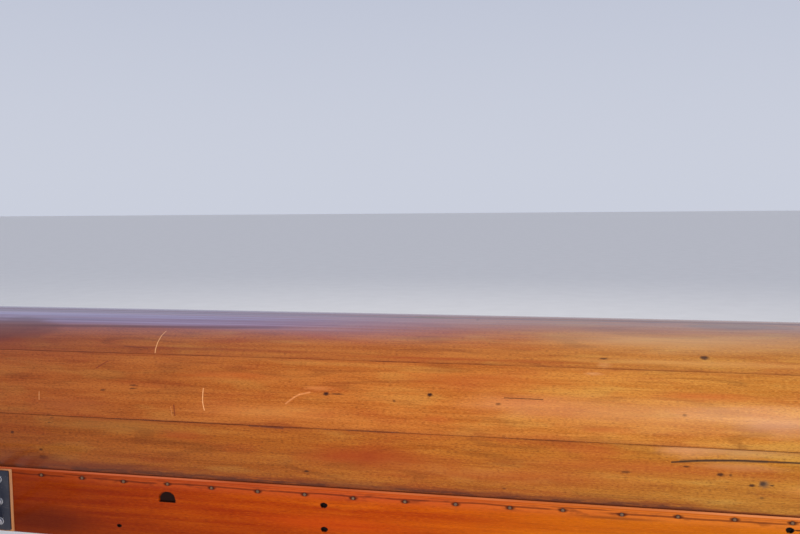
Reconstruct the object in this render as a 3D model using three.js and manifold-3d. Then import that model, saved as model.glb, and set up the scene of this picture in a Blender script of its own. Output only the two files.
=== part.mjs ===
import * as THREE from 'three';
import { mergeVertices } from 'three/addons/utils/BufferGeometryUtils.js';
import Module from 'manifold-3d';

const wasm = await Module();
wasm.setup();

// A wooden coxed four racing shell, keel up on two folding X-leg trestles.
// Millimetres. +X is toward the bow, +Z is up, the port side lies toward -Y.

// Hull
const sternX = -6370; // after end of the planking
const bowX = 6440; // forward end of the planking
const tipX = 6500; // overall half length, ball to rudder
const halfBeam = 262; // amidships, outside the planking
const endHalfBeam = 16; // planking's half width at stem and stern post
const keelTop = 1165; // keel height above the floor amidships
const edgeZ = 920; // height of the planking's edge
const rocker = 120; // how far the keel line falls toward the ends
const fairness = 2.6; // exponent of the waterline and the keel line
const fullness = 2.15; // exponent of the midship section
const endSharpness = 0.5; // fall of that exponent toward the ends
const bilgeDepth = 0.8; // height of the widest point, as a part of the depth
const tumbleHome = 0.03; // draw-in of the edge, as a part of the half beam
const skin = 6;
const gap = 0.3; // between pieces that touch
const seatGap = 0.6; // between a piece and the hollow of the planking
const seam = 0.15; // half the seam between two strakes

// Strakes: where each ends, as a part of the girth from keel to edge, and its flats across
const strakes = [
  { name: 'garboard_strake', from: 0, to: 0.4655, flats: 4 },
  { name: 'bilge_strake', from: 0.4655, to: 0.7643, flats: 4 },
  { name: 'side_strake', from: 0.7643, to: 1, flats: 2 },
];
const stations = [sternX, -6000, -5500, -4500, -3500, -2900, -1700, -400,
  900, 2100, 2900, 3500, 4500, 5500, 6050, bowX];
const midHalf = 2900; // half the middle length of the planking; the two end lengths lie past it

// Cockpit
const cockpitHalf = 3400;
const boardProud = 5; // board outside the planking
const boardHeight = 115;
const boardEnd = 3750;
const boardFull = 3330; // the board keeps its full height this far out
const boardTipHeight = 26;
const inwaleWidth = 18;
const inwaleTop = 945;
const inwaleBottom = 895;
const ribWidth = 12;
const ribDepth = 15;
const keelsonHalf = 15;
const keelsonDepth = 25;
const keelsonEnd = 3500; // half the keelson's length

// Seats and riggers. side is -1 toward port and +1 toward starboard.
const seats = [
  { number: 1, pinX: 2400, side: -1 },
  { number: 2, pinX: 1030, side: 1 },
  { number: 3, pinX: -340, side: -1 },
  { number: 4, pinX: -1710, side: 1 },
];
const spread = 840; // centreline to oarlock pin
const footReach = 260; // pin to the middle of each foot plate
const sillZ = 730;
const pinRadius = 6.5;
const lockTop = 720;
const lockBottom = 652;

const trackZ = 975; // where the tracks hang from their bearers
const trackGauge = 140; // centreline to track
const trackStart = -40;
const trackEnd = 700;
const seatRest = 300; // seat's middle forward of the pin
const wheelRadius = 16;
const wheelZ = trackZ - 3 - gap - wheelRadius;
const carriageZ = 921;

// Trestles
const trestleX = [-3100, 3100];
const trestleNames = ['stern_trestle', 'bow_trestle'];
const railY = 330;
const railZ = 857; // top of the rails
const footY = 350;
const legWidth = 50;
const legThick = 22;
const pivotRadius = 8;

function solid(geometry) {
  const bare = geometry.clone();
  for (const name of Object.keys(bare.attributes)) if (name !== 'position') bare.deleteAttribute(name);
  const merged = mergeVertices(bare, 1e-4);
  return new wasm.Manifold(new wasm.Mesh({
    numProp: 3,
    vertProperties: new Float32Array(merged.attributes.position.array),
    triVerts: new Uint32Array(merged.index.array),
  }));
}

function geometryOf(manifold) {
  const mesh = manifold.getMesh();
  const geometry = new THREE.BufferGeometry();
  geometry.setAttribute('position', new THREE.BufferAttribute(mesh.vertProperties, 3));
  geometry.setIndex(new THREE.BufferAttribute(mesh.triVerts, 1));
  geometry.computeVertexNormals();
  return geometry;
}

function join(...geometries) {
  return geometryOf(geometries.map(solid).reduce((whole, part) => whole.add(part)));
}

function cut(geometry, ...cutters) {
  return geometryOf(cutters.map(solid).reduce((left, cutter) => left.subtract(cutter), solid(geometry)));
}

// A closed skin over rings of [x, y, z] points that all have the same count
function loft(rings) {
  const count = rings[0].length;
  const points = rings.flat();
  const faces = [];
  for (let r = 0; r < rings.length - 1; r += 1) {
    for (let i = 0; i < count; i += 1) {
      const a = r * count + i;
      const b = r * count + (i + 1) % count;
      // the closing face is split the other way, so that neighbouring strakes meet along one diagonal
      if (i === count - 1) faces.push(a, b, b + count, a, b + count, a + count);
      else faces.push(a, b, a + count, b, b + count, a + count);
    }
  }
  const outline = rings[0].map(([, y, z]) => new THREE.Vector2(y, z));
  for (const [a, b, c] of THREE.ShapeUtils.triangulateShape(outline, [])) {
    const last = (rings.length - 1) * count;
    const turned = THREE.ShapeUtils.area(outline) > 0;
    if (turned) faces.push(c, b, a, last + a, last + b, last + c);
    else faces.push(a, b, c, last + c, last + b, last + a);
  }
  return closed(points, faces);
}

// Turns the faces outward by the sign of the enclosed volume
function closed(points, faces) {
  let volume = 0;
  const corner = new THREE.Vector3();
  for (let i = 0; i < faces.length; i += 3) {
    const [a, b, c] = [0, 1, 2].map((k) => new THREE.Vector3(...points[faces[i + k]]));
    volume += a.dot(corner.crossVectors(b, c));
  }
  const index = volume > 0 ? faces : faces.slice().reverse();
  const geometry = new THREE.BufferGeometry();
  geometry.setAttribute('position', new THREE.Float32BufferAttribute(points.flat(), 3));
  geometry.setIndex(index);
  geometry.computeVertexNormals();
  return geometry;
}

function box(x, y, z) {
  const geometry = new THREE.BoxGeometry(x[1] - x[0], y[1] - y[0], z[1] - z[0]);
  return geometry.translate((x[0] + x[1]) / 2, (y[0] + y[1]) / 2, (z[0] + z[1]) / 2);
}

function rod(from, to, radius, sides = 10) {
  const start = new THREE.Vector3(...from);
  const end = new THREE.Vector3(...to);
  const geometry = new THREE.CylinderGeometry(radius, radius, start.distanceTo(end), sides);
  const turn = new THREE.Quaternion().setFromUnitVectors(
    new THREE.Vector3(0, 1, 0), end.clone().sub(start).normalize());
  return geometry.applyQuaternion(turn).translate(...start.add(end).multiplyScalar(0.5));
}

// An outline of [y, z] points drawn out along X
function beamAlongX(outline, x) {
  return loft(x.map((at) => outline.map(([y, z]) => [at, y, z])));
}

// An outline of [x, z] points drawn out along Y
function plateAlongY(outline, y) {
  const turned = loft(y.map((at) => outline.map(([px, pz]) => [at, px, pz])));
  const points = turned.attributes.position;
  const moved = [];
  for (let i = 0; i < points.count; i += 1) moved.push([points.getY(i), points.getX(i), points.getZ(i)]);
  return closed(moved, [...turned.index.array]);
}

// Hull form at one station
function formAt(x) {
  const u = x < 0 ? x / sternX : x / bowX;
  const fall = Math.min(1, u) ** fairness;
  return {
    beam: endHalfBeam + (halfBeam - endHalfBeam) * (1 - fall) ** 0.9,
    depth: keelTop - edgeZ - rocker * fall,
    power: fullness - endSharpness * u * u,
  };
}

function sectionAt(x) {
  const { beam, depth, power } = formAt(x);
  const wide = depth * bilgeDepth;
  const points = [];
  const steps = 48;
  for (let i = 0; i <= steps; i += 1) {
    const angle = (i / steps) * Math.PI / 2;
    points.push([beam * Math.sin(angle) ** (2 / power),
      edgeZ + depth - wide * (1 - Math.cos(angle) ** (2 / power))]);
  }
  points.push([beam * (1 - tumbleHome / 4), edgeZ + (depth - wide) / 2]);
  points.push([beam * (1 - tumbleHome), edgeZ]);
  return points;
}

const shares = strakes.flatMap((strake, row) => {
  const list = [];
  for (let i = row ? 1 : 0; i <= strake.flats; i += 1) {
    list.push(strake.from + (strake.to - strake.from) * i / strake.flats);
  }
  return list;
});

// Point on the planking at a share of the girth, moved inward by inset and along the girth by shift
function pointAt(section, share, inset, shift = 0) {
  const lengths = [0];
  for (let i = 1; i < section.length; i += 1) {
    lengths.push(lengths[i - 1] + Math.hypot(
      section[i][0] - section[i - 1][0], section[i][1] - section[i - 1][1]));
  }
  const girth = lengths.at(-1);
  const target = share * girth;
  let i = 1;
  while (i < section.length - 1 && lengths[i] < target) i += 1;
  const [a, b] = [section[i - 1], section[i]];
  const run = lengths[i] - lengths[i - 1];
  const t = (target - lengths[i - 1] + shift) / run;
  const y = a[0] + (b[0] - a[0]) * t;
  const z = a[1] + (b[1] - a[1]) * t;
  const inward = [(b[1] - a[1]) / run, -(b[0] - a[0]) / run];
  return [Math.max(seam, y + inward[0] * inset), z + inward[1] * inset];
}

const sections = stations.map(sectionAt);

// The faceted planking's half section at any x, inset from its outside
function profile(x, inset) {
  let i = 1;
  while (i < stations.length - 1 && stations[i] < x) i += 1;
  const t = (x - stations[i - 1]) / (stations[i] - stations[i - 1]);
  return shares.map((share) => {
    const a = pointAt(sections[i - 1], share, inset);
    const b = pointAt(sections[i], share, inset);
    return [a[0] + (b[0] - a[0]) * t, a[1] + (b[1] - a[1]) * t];
  });
}

// Half width inside the planking at a height
function widthAt(x, z, inset) {
  const points = profile(x, inset);
  for (let i = 1; i < points.length; i += 1) {
    const [a, b] = [points[i - 1], points[i]];
    if (b[1] <= z) return a[0] + (b[0] - a[0]) * (a[1] - z) / (a[1] - b[1]);
  }
  return points.at(-1)[0];
}

// Height inside the planking at a half width near the keel
function heightAt(x, y, inset) {
  const points = profile(x, inset);
  for (let i = 1; i < points.length; i += 1) {
    const [a, b] = [points[i - 1], points[i]];
    if (b[0] >= y) return a[1] + (b[1] - a[1]) * (y - a[0]) / (b[0] - a[0]);
  }
  return edgeZ;
}

function narrowest(xs, zs, inset) {
  return Math.min(...xs.flatMap((x) => zs.map((z) => widthAt(x, z, inset))));
}

const edgeY = (x) => profile(x, 0).at(-1)[0];
const keelsonTop = (x) => heightAt(x, keelsonHalf, skin + seatGap);
const keelsonUnder = (x) => keelsonTop(x) - keelsonDepth;

// Materials
const finish = {
  cedar: new THREE.MeshStandardMaterial({ color: 0xb4652b, roughness: 0.35 }),
  board: new THREE.MeshStandardMaterial({ color: 0xb04510, roughness: 0.3 }),
  frame: new THREE.MeshStandardMaterial({ color: 0xc08a4c, roughness: 0.5 }),
  deck: new THREE.MeshStandardMaterial({ color: 0xd8b984, roughness: 0.5 }),
  steel: new THREE.MeshStandardMaterial({ color: 0x23272f, roughness: 0.45, metalness: 0.8 }),
  lock: new THREE.MeshStandardMaterial({ color: 0xb9a77a, roughness: 0.35, metalness: 0.9 }),
  alloy: new THREE.MeshStandardMaterial({ color: 0xa7abb0, roughness: 0.35, metalness: 0.9 }),
  rubber: new THREE.MeshStandardMaterial({ color: 0xe8e4da, roughness: 0.7 }),
  rudder: new THREE.MeshStandardMaterial({ color: 0xc9a24a, roughness: 0.4 }),
  timber: new THREE.MeshStandardMaterial({ color: 0xb9742f, roughness: 0.6 }),
  cloth: new THREE.MeshStandardMaterial({ color: 0x3b3a3c, roughness: 0.95 }),
};

const group = new THREE.Group();

function piece(parent, name, geometry, material) {
  const mesh = new THREE.Mesh(geometry, material);
  mesh.name = name;
  parent.add(mesh);
  return mesh;
}

// A half outline of [y, z] points that starts at the keel, and its mirror image, as one outline
function whole(points) {
  const rest = points.slice(1);
  return [...rest.map(([y, z]) => [-y, z]).reverse(), [0, points[0][1]], ...rest];
}

// Planking
function strakeRing(x, section, strake, side) {
  const outer = [];
  const inner = [];
  for (let i = 0; i <= strake.flats; i += 1) {
    const share = strake.from + (strake.to - strake.from) * i / strake.flats;
    const shift = (i === 0 ? seam : 0) - (i === strake.flats && strake.to < 1 ? seam : 0);
    outer.push(pointAt(section, share, 0, shift));
    inner.push(pointAt(section, share, skin, shift));
  }
  return [...outer, ...inner.reverse()].map(([y, z]) => [x, side * y, z]);
}

function addPlanking() {
  const middle = stations.filter((x) => Math.abs(x) <= midHalf);
  for (const [side, hand] of [[-1, 'port'], [1, 'starboard']]) {
    for (const strake of strakes) {
      const rings = middle.map((x) => strakeRing(x, sectionAt(x), strake, side));
      piece(group, `${hand}_${strake.name}`, loft(rings), finish.cedar);
    }
  }
  for (const [name, end] of [['stern', -1], ['bow', 1]]) {
    const tips = stations.filter((x) => end * x > midHalf).sort((a, b) => end * (a - b));
    const xs = [end * (midHalf + gap), ...tips];
    const rings = xs.map((x) => [...whole(profile(x, 0)), ...whole(profile(x, skin)).reverse()]
      .map(([y, z]) => [x, y, z]));
    piece(group, `${name}_end_planking`, loft(rings), finish.cedar);
  }
}

// Keelson with the ribs glued to it
function rib(x) {
  const rings = [x - ribWidth / 2, x + ribWidth / 2].map((at) => {
    const outer = profile(at, skin + seatGap);
    const inner = profile(at, skin + seatGap + ribDepth);
    const top = inwaleTop + seatGap;
    const clip = (points) => {
      const kept = points.filter(([, z]) => z > top + 4);
      const last = points[kept.length];
      const before = kept.at(-1);
      const t = (before[1] - top) / (before[1] - last[1]);
      kept.push([before[0] + (last[0] - before[0]) * t, top]);
      return kept;
    };
    const [out, inn] = [clip(outer), clip(inner)];
    return [...whole(out), ...whole(inn).reverse()].map(([y, z]) => [at, y, z]);
  });
  return loft(rings);
}

// The keelson is scarfed from three lengths, each with its own ribs
const bays = [
  { name: 'stern', from: -keelsonEnd, to: -1025 },
  { name: 'middle', from: -1025, to: 1715 },
  { name: 'bow', from: 1715, to: keelsonEnd },
];

function addFraming() {
  const ribXs = seats.flatMap(({ pinX }) => [pinX - footReach, pinX + footReach]);
  ribXs.push(-2450, -3250, 3300);
  for (const bay of bays) {
    const inside = (x) => x > bay.from && x < bay.to;
    const xs = [bay.from + gap / 2, ...stations.filter(inside), bay.to - gap / 2];
    const keelson = loft(xs.map((x) => [
      [x, -keelsonHalf, keelsonTop(x)], [x, keelsonHalf, keelsonTop(x)],
      [x, keelsonHalf, keelsonUnder(x)], [x, -keelsonHalf, keelsonUnder(x)]]));
    piece(group, `keelson_and_ribs_${bay.name}`, join(keelson, ...ribXs.filter(inside).map(rib)), finish.frame);
  }
  for (const [side, hand] of [[-1, 'port'], [1, 'starboard']]) {
    const ends = [-cockpitHalf, ...stations.filter((x) => Math.abs(x) < cockpitHalf), cockpitHalf];
    const rings = ends.map((x) => {
      const face = edgeY(x) - skin - seatGap;
      return [[face, inwaleTop], [face, inwaleBottom],
        [face - inwaleWidth, inwaleBottom], [face - inwaleWidth, inwaleTop]]
        .map(([y, z]) => [x, side * y, z]);
    });
    piece(group, `${hand}_inwale`, loft(rings), finish.frame);
  }
}

// The side boards that stand above the planking's edge round the cockpit
function boardUnder(x) {
  const out = Math.max(0, (Math.abs(x) - boardFull) / (boardEnd - boardFull));
  return edgeZ - gap - boardHeight + (boardHeight - boardTipHeight) * out ** 1.5;
}

function addSaxBoards() {
  const inner = stations.filter((x) => Math.abs(x) < boardFull);
  const half = [boardFull, (boardFull + boardEnd) / 2, boardEnd];
  const xs = [...half.slice().reverse().map((x) => -x), ...inner, ...half];
  for (const [side, hand] of [[-1, 'port'], [1, 'starboard']]) {
    const rings = xs.map((x) => {
      const out = edgeY(x) + boardProud;
      const inn = edgeY(x) - skin;
      return [[out, edgeZ - gap], [out, boardUnder(x)], [inn, boardUnder(x)], [inn, edgeZ - gap]]
        .map(([y, z]) => [x, side * y, z]);
    });
    piece(group, `${hand}_sax_board`, loft(rings), finish.board);
  }
}

// Decks, bulkheads and splashboard
const deckThick = 4;
const deckCrown = 11;
const deckFlats = 4;

function deckRing(x, drop, thick) {
  const half = widthAt(x, edgeZ, skin) - seatGap;
  const outer = [];
  for (let i = -deckFlats; i <= deckFlats; i += 1) {
    const t = i / deckFlats;
    outer.push([half * t, edgeZ - drop - deckCrown * (half / halfBeam) * (1 - t * t)]);
  }
  const inner = outer.map(([y, z]) => [y, z + drop + thick]);
  return [...outer, ...inner.reverse()].map(([y, z]) => [x, y, z]);
}

function addDecks() {
  const ends = [['stern', -1], ['bow', 1]];
  for (const [name, end] of ends) {
    const tip = end < 0 ? sternX : bowX;
    const xs = [end * (cockpitHalf + 12), ...stations.filter((x) => end * x > cockpitHalf + 12 && x !== tip)];
    if (end < 0) xs.sort((a, b) => b - a);
    xs.push(tip);
    piece(group, `${name}_deck`, loft(xs.map((x) => deckRing(x, 0, deckThick))), finish.deck);
    const face = [end * cockpitHalf, end * (cockpitHalf + 10)];
    const rings = face.map((x) => {
      const points = profile(x, skin + seatGap).filter(([, z]) => z > edgeZ + deckThick + 30);
      points.push([widthAt(x, edgeZ + deckThick + 26, skin + seatGap), edgeZ + deckThick + 26]);
      points.push([widthAt(x, edgeZ + 6, skin + seatGap), edgeZ + 6]);
      return whole(points).map(([y, z]) => [x, y, z]);
    });
    const passage = beamAlongX([[-keelsonHalf - 1, keelsonUnder(face[0]) - 1], [keelsonHalf + 1,
      keelsonUnder(face[0]) - 1], [keelsonHalf + 1, keelTop], [-keelsonHalf - 1, keelTop]],
      [end * (cockpitHalf - 20), end * (cockpitHalf + 30)]);
    piece(group, `${name}_bulkhead`, cut(loft(rings), passage), finish.frame);
  }
}

function addSplashboard() {
  const root = cockpitHalf + 30;
  const point = root + 470;
  const half = edgeY(root) - skin - 4;
  const low = edgeZ - 62;
  const thick = 8;
  const wing = (side) => loft([0, 1].map((end) => {
    const x = end ? point : root;
    const y = end ? 0 : side * half;
    return [[x, y, edgeZ + 3], [x, y, low], [x - thick * 2, y - side * thick * (1 - end), low],
      [x - thick * 2, y - side * thick * (1 - end), edgeZ + 3]];
  }));
  const spine = box([point - 22, point], [-7, 7], [low, edgeZ + 3]);
  const xs = [root - 60, stations.find((x) => x > root), 4000];
  const under = loft(xs.map((x) => deckRing(x, gap, 80)));
  piece(group, 'splashboard', cut(join(wing(-1), wing(1), spine), under), finish.board);
}

// Stem, stern post, ball, fin and rudder
const postX = sternX - 16; // after face of the stern post
const hingeX = postX - 12; // rudder's turning axis
const pintleRadius = 4;
const boreRadius = 4.6;
const gudgeonZ = [945, 1010];

function endBlock(x0, x1) {
  const outline = whole(profile(x0, 0));
  return loft([outline.map(([y, z]) => [x0, y, z]),
    outline.map(([y, z]) => [x1, y * 0.55, edgeZ + 4 + (z - edgeZ - 4) * 0.9])]);
}

function addEnds() {
  const stem = endBlock(bowX + gap, bowX + 28);
  piece(group, 'stem', stem, finish.cedar);
  const ballX = bowX + 28 + gap;
  const ball = tipX - ballX;
  const curve = [[0, 0], [ball * 0.62, 0], [ball * 0.7, ball * 0.3], [ball * 0.5, ball * 0.78], [0, ball]];
  const cap = new THREE.LatheGeometry(curve.map(([r, h]) => new THREE.Vector2(r, h)), 14);
  const ballMesh = piece(group, 'bow_ball', cap, finish.rubber);
  ballMesh.rotation.z = -Math.PI / 2;
  ballMesh.position.set(ballX, 0, 975);

  let post = endBlock(sternX - gap, postX);
  for (const z of gudgeonZ) {
    post = join(post, box([hingeX, postX + 4], [-6, 6], [z, z + 14]), rod([hingeX, 0, z], [hingeX, 0, z + 14], 9));
  }
  post = cut(post, ...gudgeonZ.map((z) => rod([hingeX, 0, z - 5], [hingeX, 0, z + 19], boreRadius)));
  piece(group, 'stern_post', post, finish.frame);

  const finX = -3150;
  const finFoot = Math.max(keelAt(finX - 55), keelAt(finX + 55)) + gap;
  const fin = plateAlongY([[finX - 55, finFoot], [finX + 55, finFoot],
    [finX + 20, finFoot + 62], [finX - 34, finFoot + 66]], [-2, 2]);
  piece(group, 'fin', fin, finish.steel);
}

const keelAt = (x) => profile(x, 0)[0][1];

function addRudder() {
  const front = hingeX - 12;
  const top = 1150;
  const blade = plateAlongY([[front, 925], [front, top], [front - 30, top + 8],
    [-tipX + 6, 1110], [-tipX, 1060], [front - 40, 925]], [-4, 4]);
  const pintle = rod([hingeX, 0, 884], [hingeX, 0, 1080], pintleRadius);
  const straps = [[970, 990], [1040, 1060]].map((z) => box([front - 20, hingeX], [-5, 5], z));
  piece(group, 'rudder', join(blade, pintle, ...straps), finish.rudder);
  const yoke = plateAlongY([[hingeX - 12, 888], [hingeX + 12, 888], [hingeX + 12, 896], [hingeX - 12, 896]],
    [-125, 125]);
  piece(group, 'rudder_yoke', cut(yoke, rod([hingeX, 0, 880], [hingeX, 0, 900], pintleRadius + gap)),
    finish.lock);
}

// Riggers: two foot plates, four stays, a backstay, sill and pin in one
function rigger({ pinX, side }) {
  const parts = [];
  const at = (x, y, z) => [x, side * y, z];
  const sill = box([pinX - 30, pinX + 30], [Math.min(side * 812, side * 868), Math.max(side * 812, side * 868)],
    [sillZ, sillZ + 12]);
  for (const end of [-1, 1]) {
    const footX = pinX + end * footReach;
    const face = Math.max(edgeY(footX - 20), edgeY(footX + 20)) + boardProud + gap;
    const y = [side * face, side * (face + 5)].sort((a, b) => a - b);
    parts.push(box([footX - 20, footX + 20], y, [edgeZ - boardHeight + 4, edgeZ - 4]));
    parts.push(rod(at(footX, face + 4.8, 892), at(pinX + end * 14, spread - 14, sillZ + 8), 9));
    parts.push(rod(at(footX, face + 4.5, 828), at(pinX + end * 20, spread - 20, sillZ + 4), 7, 8));
    if (end > 0) parts.push(rod(at(footX - 8, face + 4, 816), at(pinX, spread, 634), 5, 8));
  }
  parts.push(rod(at(pinX, spread, sillZ + 6), at(pinX, spread, 628), pinRadius, 12));
  parts.push(rod(at(pinX, spread, sillZ + 1), at(pinX, spread, lockTop + 0.4), 10, 12));
  parts.push(rod(at(pinX, spread, lockBottom - 0.4), at(pinX, spread, 640), 10, 12));
  return join(sill, ...parts);
}

function oarlock() {
  const frame = cut(box([-80, -8], [-17, 17], [lockBottom, lockTop]),
    box([-70, -20], [-30, 30], [lockBottom + 8, lockTop - 8]));
  const sleeve = rod([0, 0, lockBottom], [0, 0, lockTop], 14, 12);
  return cut(join(frame, sleeve), rod([0, 0, lockBottom - 5], [0, 0, lockTop + 5], pinRadius + 0.6, 12));
}

function addRiggers() {
  for (const seat of seats) {
    piece(group, `rigger_${seat.number}`, rigger(seat), finish.steel);
    const lock = piece(group, `oarlock_${seat.number}`, oarlock(), finish.lock);
    lock.position.set(seat.pinX, seat.side * spread, 0);
  }
}

// Tracks and their bearers, seats and stretchers
function bearer(x, z, half) {
  return box([x - 8, x + 8], [-half, half], z);
}

function tracks(pinX) {
  const parts = [];
  for (const x of [-20, 330, 672]) {
    const z = [trackZ, trackZ + 22];
    const half = narrowest([pinX + x - 8, pinX + x + 8], z, skin + seatGap);
    parts.push(bearer(pinX + x, z, half));
  }
  for (const y of [-trackGauge, trackGauge]) {
    const run = [pinX + trackStart, pinX + trackEnd];
    parts.push(box(run, [y - 14, y + 14], [trackZ - 3, trackZ + 1]));
    for (const lip of [-14, 11]) parts.push(box(run, [y + lip, y + lip + 3], [trackZ - 9, trackZ - 2]));
    for (const x of [run[0], run[1] - 6]) {
      parts.push(box([x, x + 6], [y - 12, y + 12], [trackZ - 9, trackZ - 2]));
    }
  }
  return join(...parts);
}

function carriage() {
  const parts = [];
  for (const x of [-70, 70]) {
    parts.push(rod([x, -148, wheelZ], [x, 148, wheelZ], 4, 8));
    parts.push(box([x - 8, x + 8], [-112, 112], [carriageZ, carriageZ + 10]));
    for (const y of [-trackGauge, trackGauge]) {
      parts.push(rod([x, y - 5, wheelZ], [x, y + 5, wheelZ], wheelRadius, 16));
    }
  }
  for (const y of [-111, 111]) parts.push(box([-84, 84], [y - 5, y + 5], [carriageZ, wheelZ + 6]));
  return join(...parts);
}

function seatTop() {
  const outline = new THREE.Shape();
  outline.moveTo(-105, -120);
  outline.quadraticCurveTo(-105, -150, -70, -150);
  outline.lineTo(60, -150);
  outline.quadraticCurveTo(108, -146, 108, -105);
  outline.quadraticCurveTo(108, -45, 72, 0);
  outline.quadraticCurveTo(108, 45, 108, 105);
  outline.quadraticCurveTo(108, 146, 60, 150);
  outline.lineTo(-70, 150);
  outline.quadraticCurveTo(-105, 150, -105, 120);
  for (const y of [-58, 58]) {
    const hole = new THREE.Path();
    hole.absellipse(22, y, 30, 26, 0, Math.PI * 2, false, 0);
    outline.holes.push(hole);
  }
  const geometry = new THREE.ExtrudeGeometry(outline, { depth: 16, bevelEnabled: false, curveSegments: 5 });
  return geometry.translate(0, 0, carriageZ - gap - 16);
}

function stretcher(pinX) {
  const heelX = pinX - 385;
  const heelZ = Math.min(keelsonUnder(heelX - 20), keelsonUnder(heelX + 20)) - gap;
  const toeX = pinX - 600;
  const toeZ = 932;
  const lean = new THREE.Vector2(toeX - heelX, toeZ - heelZ + 12).normalize().multiplyScalar(10);
  const board = plateAlongY([[heelX, heelZ - 12], [toeX, toeZ],
    [toeX - lean.y, toeZ + lean.x], [heelX - lean.y, heelZ - 12 + lean.x]], [-105, 105]);
  const chock = box([heelX - 14, heelX + 22], [-14, 14], [heelZ - 26, heelZ]);
  const barX = [toeX - 4, toeX + 20];
  const half = Math.min(edgeY(barX[0]), edgeY(barX[1])) - skin - seatGap - inwaleWidth - gap;
  const bar = box(barX, [-half, half], [928, 944]);
  return join(board, chock, bar);
}

function addSeats() {
  for (const { number, pinX } of seats) {
    piece(group, `seat_tracks_${number}`, tracks(pinX), finish.frame);
    piece(group, `foot_stretcher_${number}`, stretcher(pinX), finish.frame);
    const seat = new THREE.Group();
    seat.position.x = pinX + seatRest;
    piece(seat, `seat_carriage_${number}`, carriage(), finish.alloy);
    piece(seat, `seat_top_${number}`, seatTop(), finish.board);
    group.add(seat);
  }
}

// Cox's seat and back in the stern of the cockpit
function addCoxSeat() {
  const rail = [960, 980];
  const panel = box([-3010, -2720], [-170, 170], [rail[0] - 9, rail[0] + 1]);
  const bearers = [-2745, -2985].map((x) => bearer(x, rail, narrowest([x - 8, x + 8], rail, skin + seatGap)));
  piece(group, 'cox_seat', join(panel, ...bearers), finish.board);
  const back = plateAlongY([[-3052, 955], [-3062, 955], [-3122, 850], [-3112, 850]], [-150, 150]);
  const barX = [-3112, -3088];
  const half = Math.min(...barX.map(edgeY)) - skin - seatGap - inwaleWidth - gap;
  piece(group, 'cox_backrest', join(back, box(barX, [-half, half], [900, 914])), finish.board);
}

// Folding trestles: two pinned frames with a cloth sling from rail to rail
function trestleFrame(legX, railHalf, side) {
  const slope = Math.atan2(railZ, railY + footY);
  const half = legWidth / 2 / Math.sin(slope);
  const outline = [[-footY - half, 0], [-footY + half, 0], [railY + half, railZ - 2], [railY - half, railZ - 2]]
    .map(([y, z]) => [side * y, z]);
  const pivotT = footY / (railY + footY);
  const bore = rod([-400, 0, railZ * pivotT], [400, 0, railZ * pivotT], pivotRadius + 0.5, 12);
  const legs = [-1, 1].map((end) => beamAlongX(outline, [end * legX - legThick / 2, end * legX + legThick / 2]));
  const top = beamAlongX([[railY - 17, railZ - 34], [railY + 17, railZ - 34], [railY + 17, railZ],
    [railY - 17, railZ]].map(([y, z]) => [side * y, z]), [-railHalf, railHalf]);
  const shift = 90 * (railY + footY) / railZ;
  const low = beamAlongX([[-footY + shift - 14, 72], [-footY + shift + 14, 72], [-footY + shift + 14, 108],
    [-footY + shift - 14, 108]].map(([y, z]) => [side * y, z]), [-legX, legX]);
  return cut(join(...legs, top, low), bore);
}

function sling() {
  const half = 236;
  const thick = 3;
  const top = edgeZ - gap - boardHeight - gap;
  const inner = railY - 19;
  const outer = railY + 16;
  const upper = [[-outer, railZ + gap + thick], [-inner, railZ + gap + thick], [-half, top], [half, top],
    [inner, railZ + gap + thick], [outer, railZ + gap + thick]];
  const lower = [[-outer, railZ + gap], [-inner - 1, railZ + gap], [-half - 1, top - thick],
    [half + 1, top - thick], [inner + 1, railZ + gap], [outer, railZ + gap]];
  return beamAlongX([...upper, ...lower.reverse()], [-150, 150]);
}

function addTrestles() {
  trestleX.forEach((x, i) => {
    const name = trestleNames[i];
    const trestle = new THREE.Group();
    trestle.position.x = x;
    piece(trestle, `${name}_outer_frame`, trestleFrame(250, 261, 1), finish.timber);
    piece(trestle, `${name}_inner_frame`, trestleFrame(227, 238, -1), finish.timber);
    const pivotZ = railZ * footY / (railY + footY);
    const ends = [-1, 1].map((end) => rod([end * 261.5, 0, pivotZ], [end * 268, 0, pivotZ], 14, 12));
    const pin = join(rod([-266, 0, pivotZ], [266, 0, pivotZ], pivotRadius, 12), ...ends);
    piece(trestle, `${name}_pivot`, pin, finish.steel);
    piece(trestle, `${name}_sling`, sling(), finish.cloth);
    group.add(trestle);
  });
}

addPlanking();
addFraming();
addSaxBoards();
addDecks();
addSplashboard();
addEnds();
addRudder();
addRiggers();
addSeats();
addCoxSeat();
addTrestles();

export default group;
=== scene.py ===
import math
import random

import bpy
import bmesh
from mathutils import Matrix, Vector


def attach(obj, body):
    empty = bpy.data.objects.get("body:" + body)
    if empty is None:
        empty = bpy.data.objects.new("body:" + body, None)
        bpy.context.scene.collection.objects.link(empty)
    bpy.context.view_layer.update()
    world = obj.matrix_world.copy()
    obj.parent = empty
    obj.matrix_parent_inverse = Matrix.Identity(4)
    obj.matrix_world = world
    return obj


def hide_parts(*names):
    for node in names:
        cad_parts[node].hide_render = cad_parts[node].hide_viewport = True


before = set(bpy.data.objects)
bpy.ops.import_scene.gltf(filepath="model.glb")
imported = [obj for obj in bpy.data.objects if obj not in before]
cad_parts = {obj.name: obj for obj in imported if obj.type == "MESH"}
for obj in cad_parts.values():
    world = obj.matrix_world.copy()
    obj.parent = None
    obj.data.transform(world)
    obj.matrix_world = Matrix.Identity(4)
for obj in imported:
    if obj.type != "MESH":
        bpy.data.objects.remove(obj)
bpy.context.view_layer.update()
dice = random.Random(7)
hands = {"port": -1, "starboard": 1}
both = (-1, 1)
upward = (0, 0, 1)


# Selecting and finishing pieces

def endEdit():
    bpy.ops.object.mode_set(mode="OBJECT")


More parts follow.
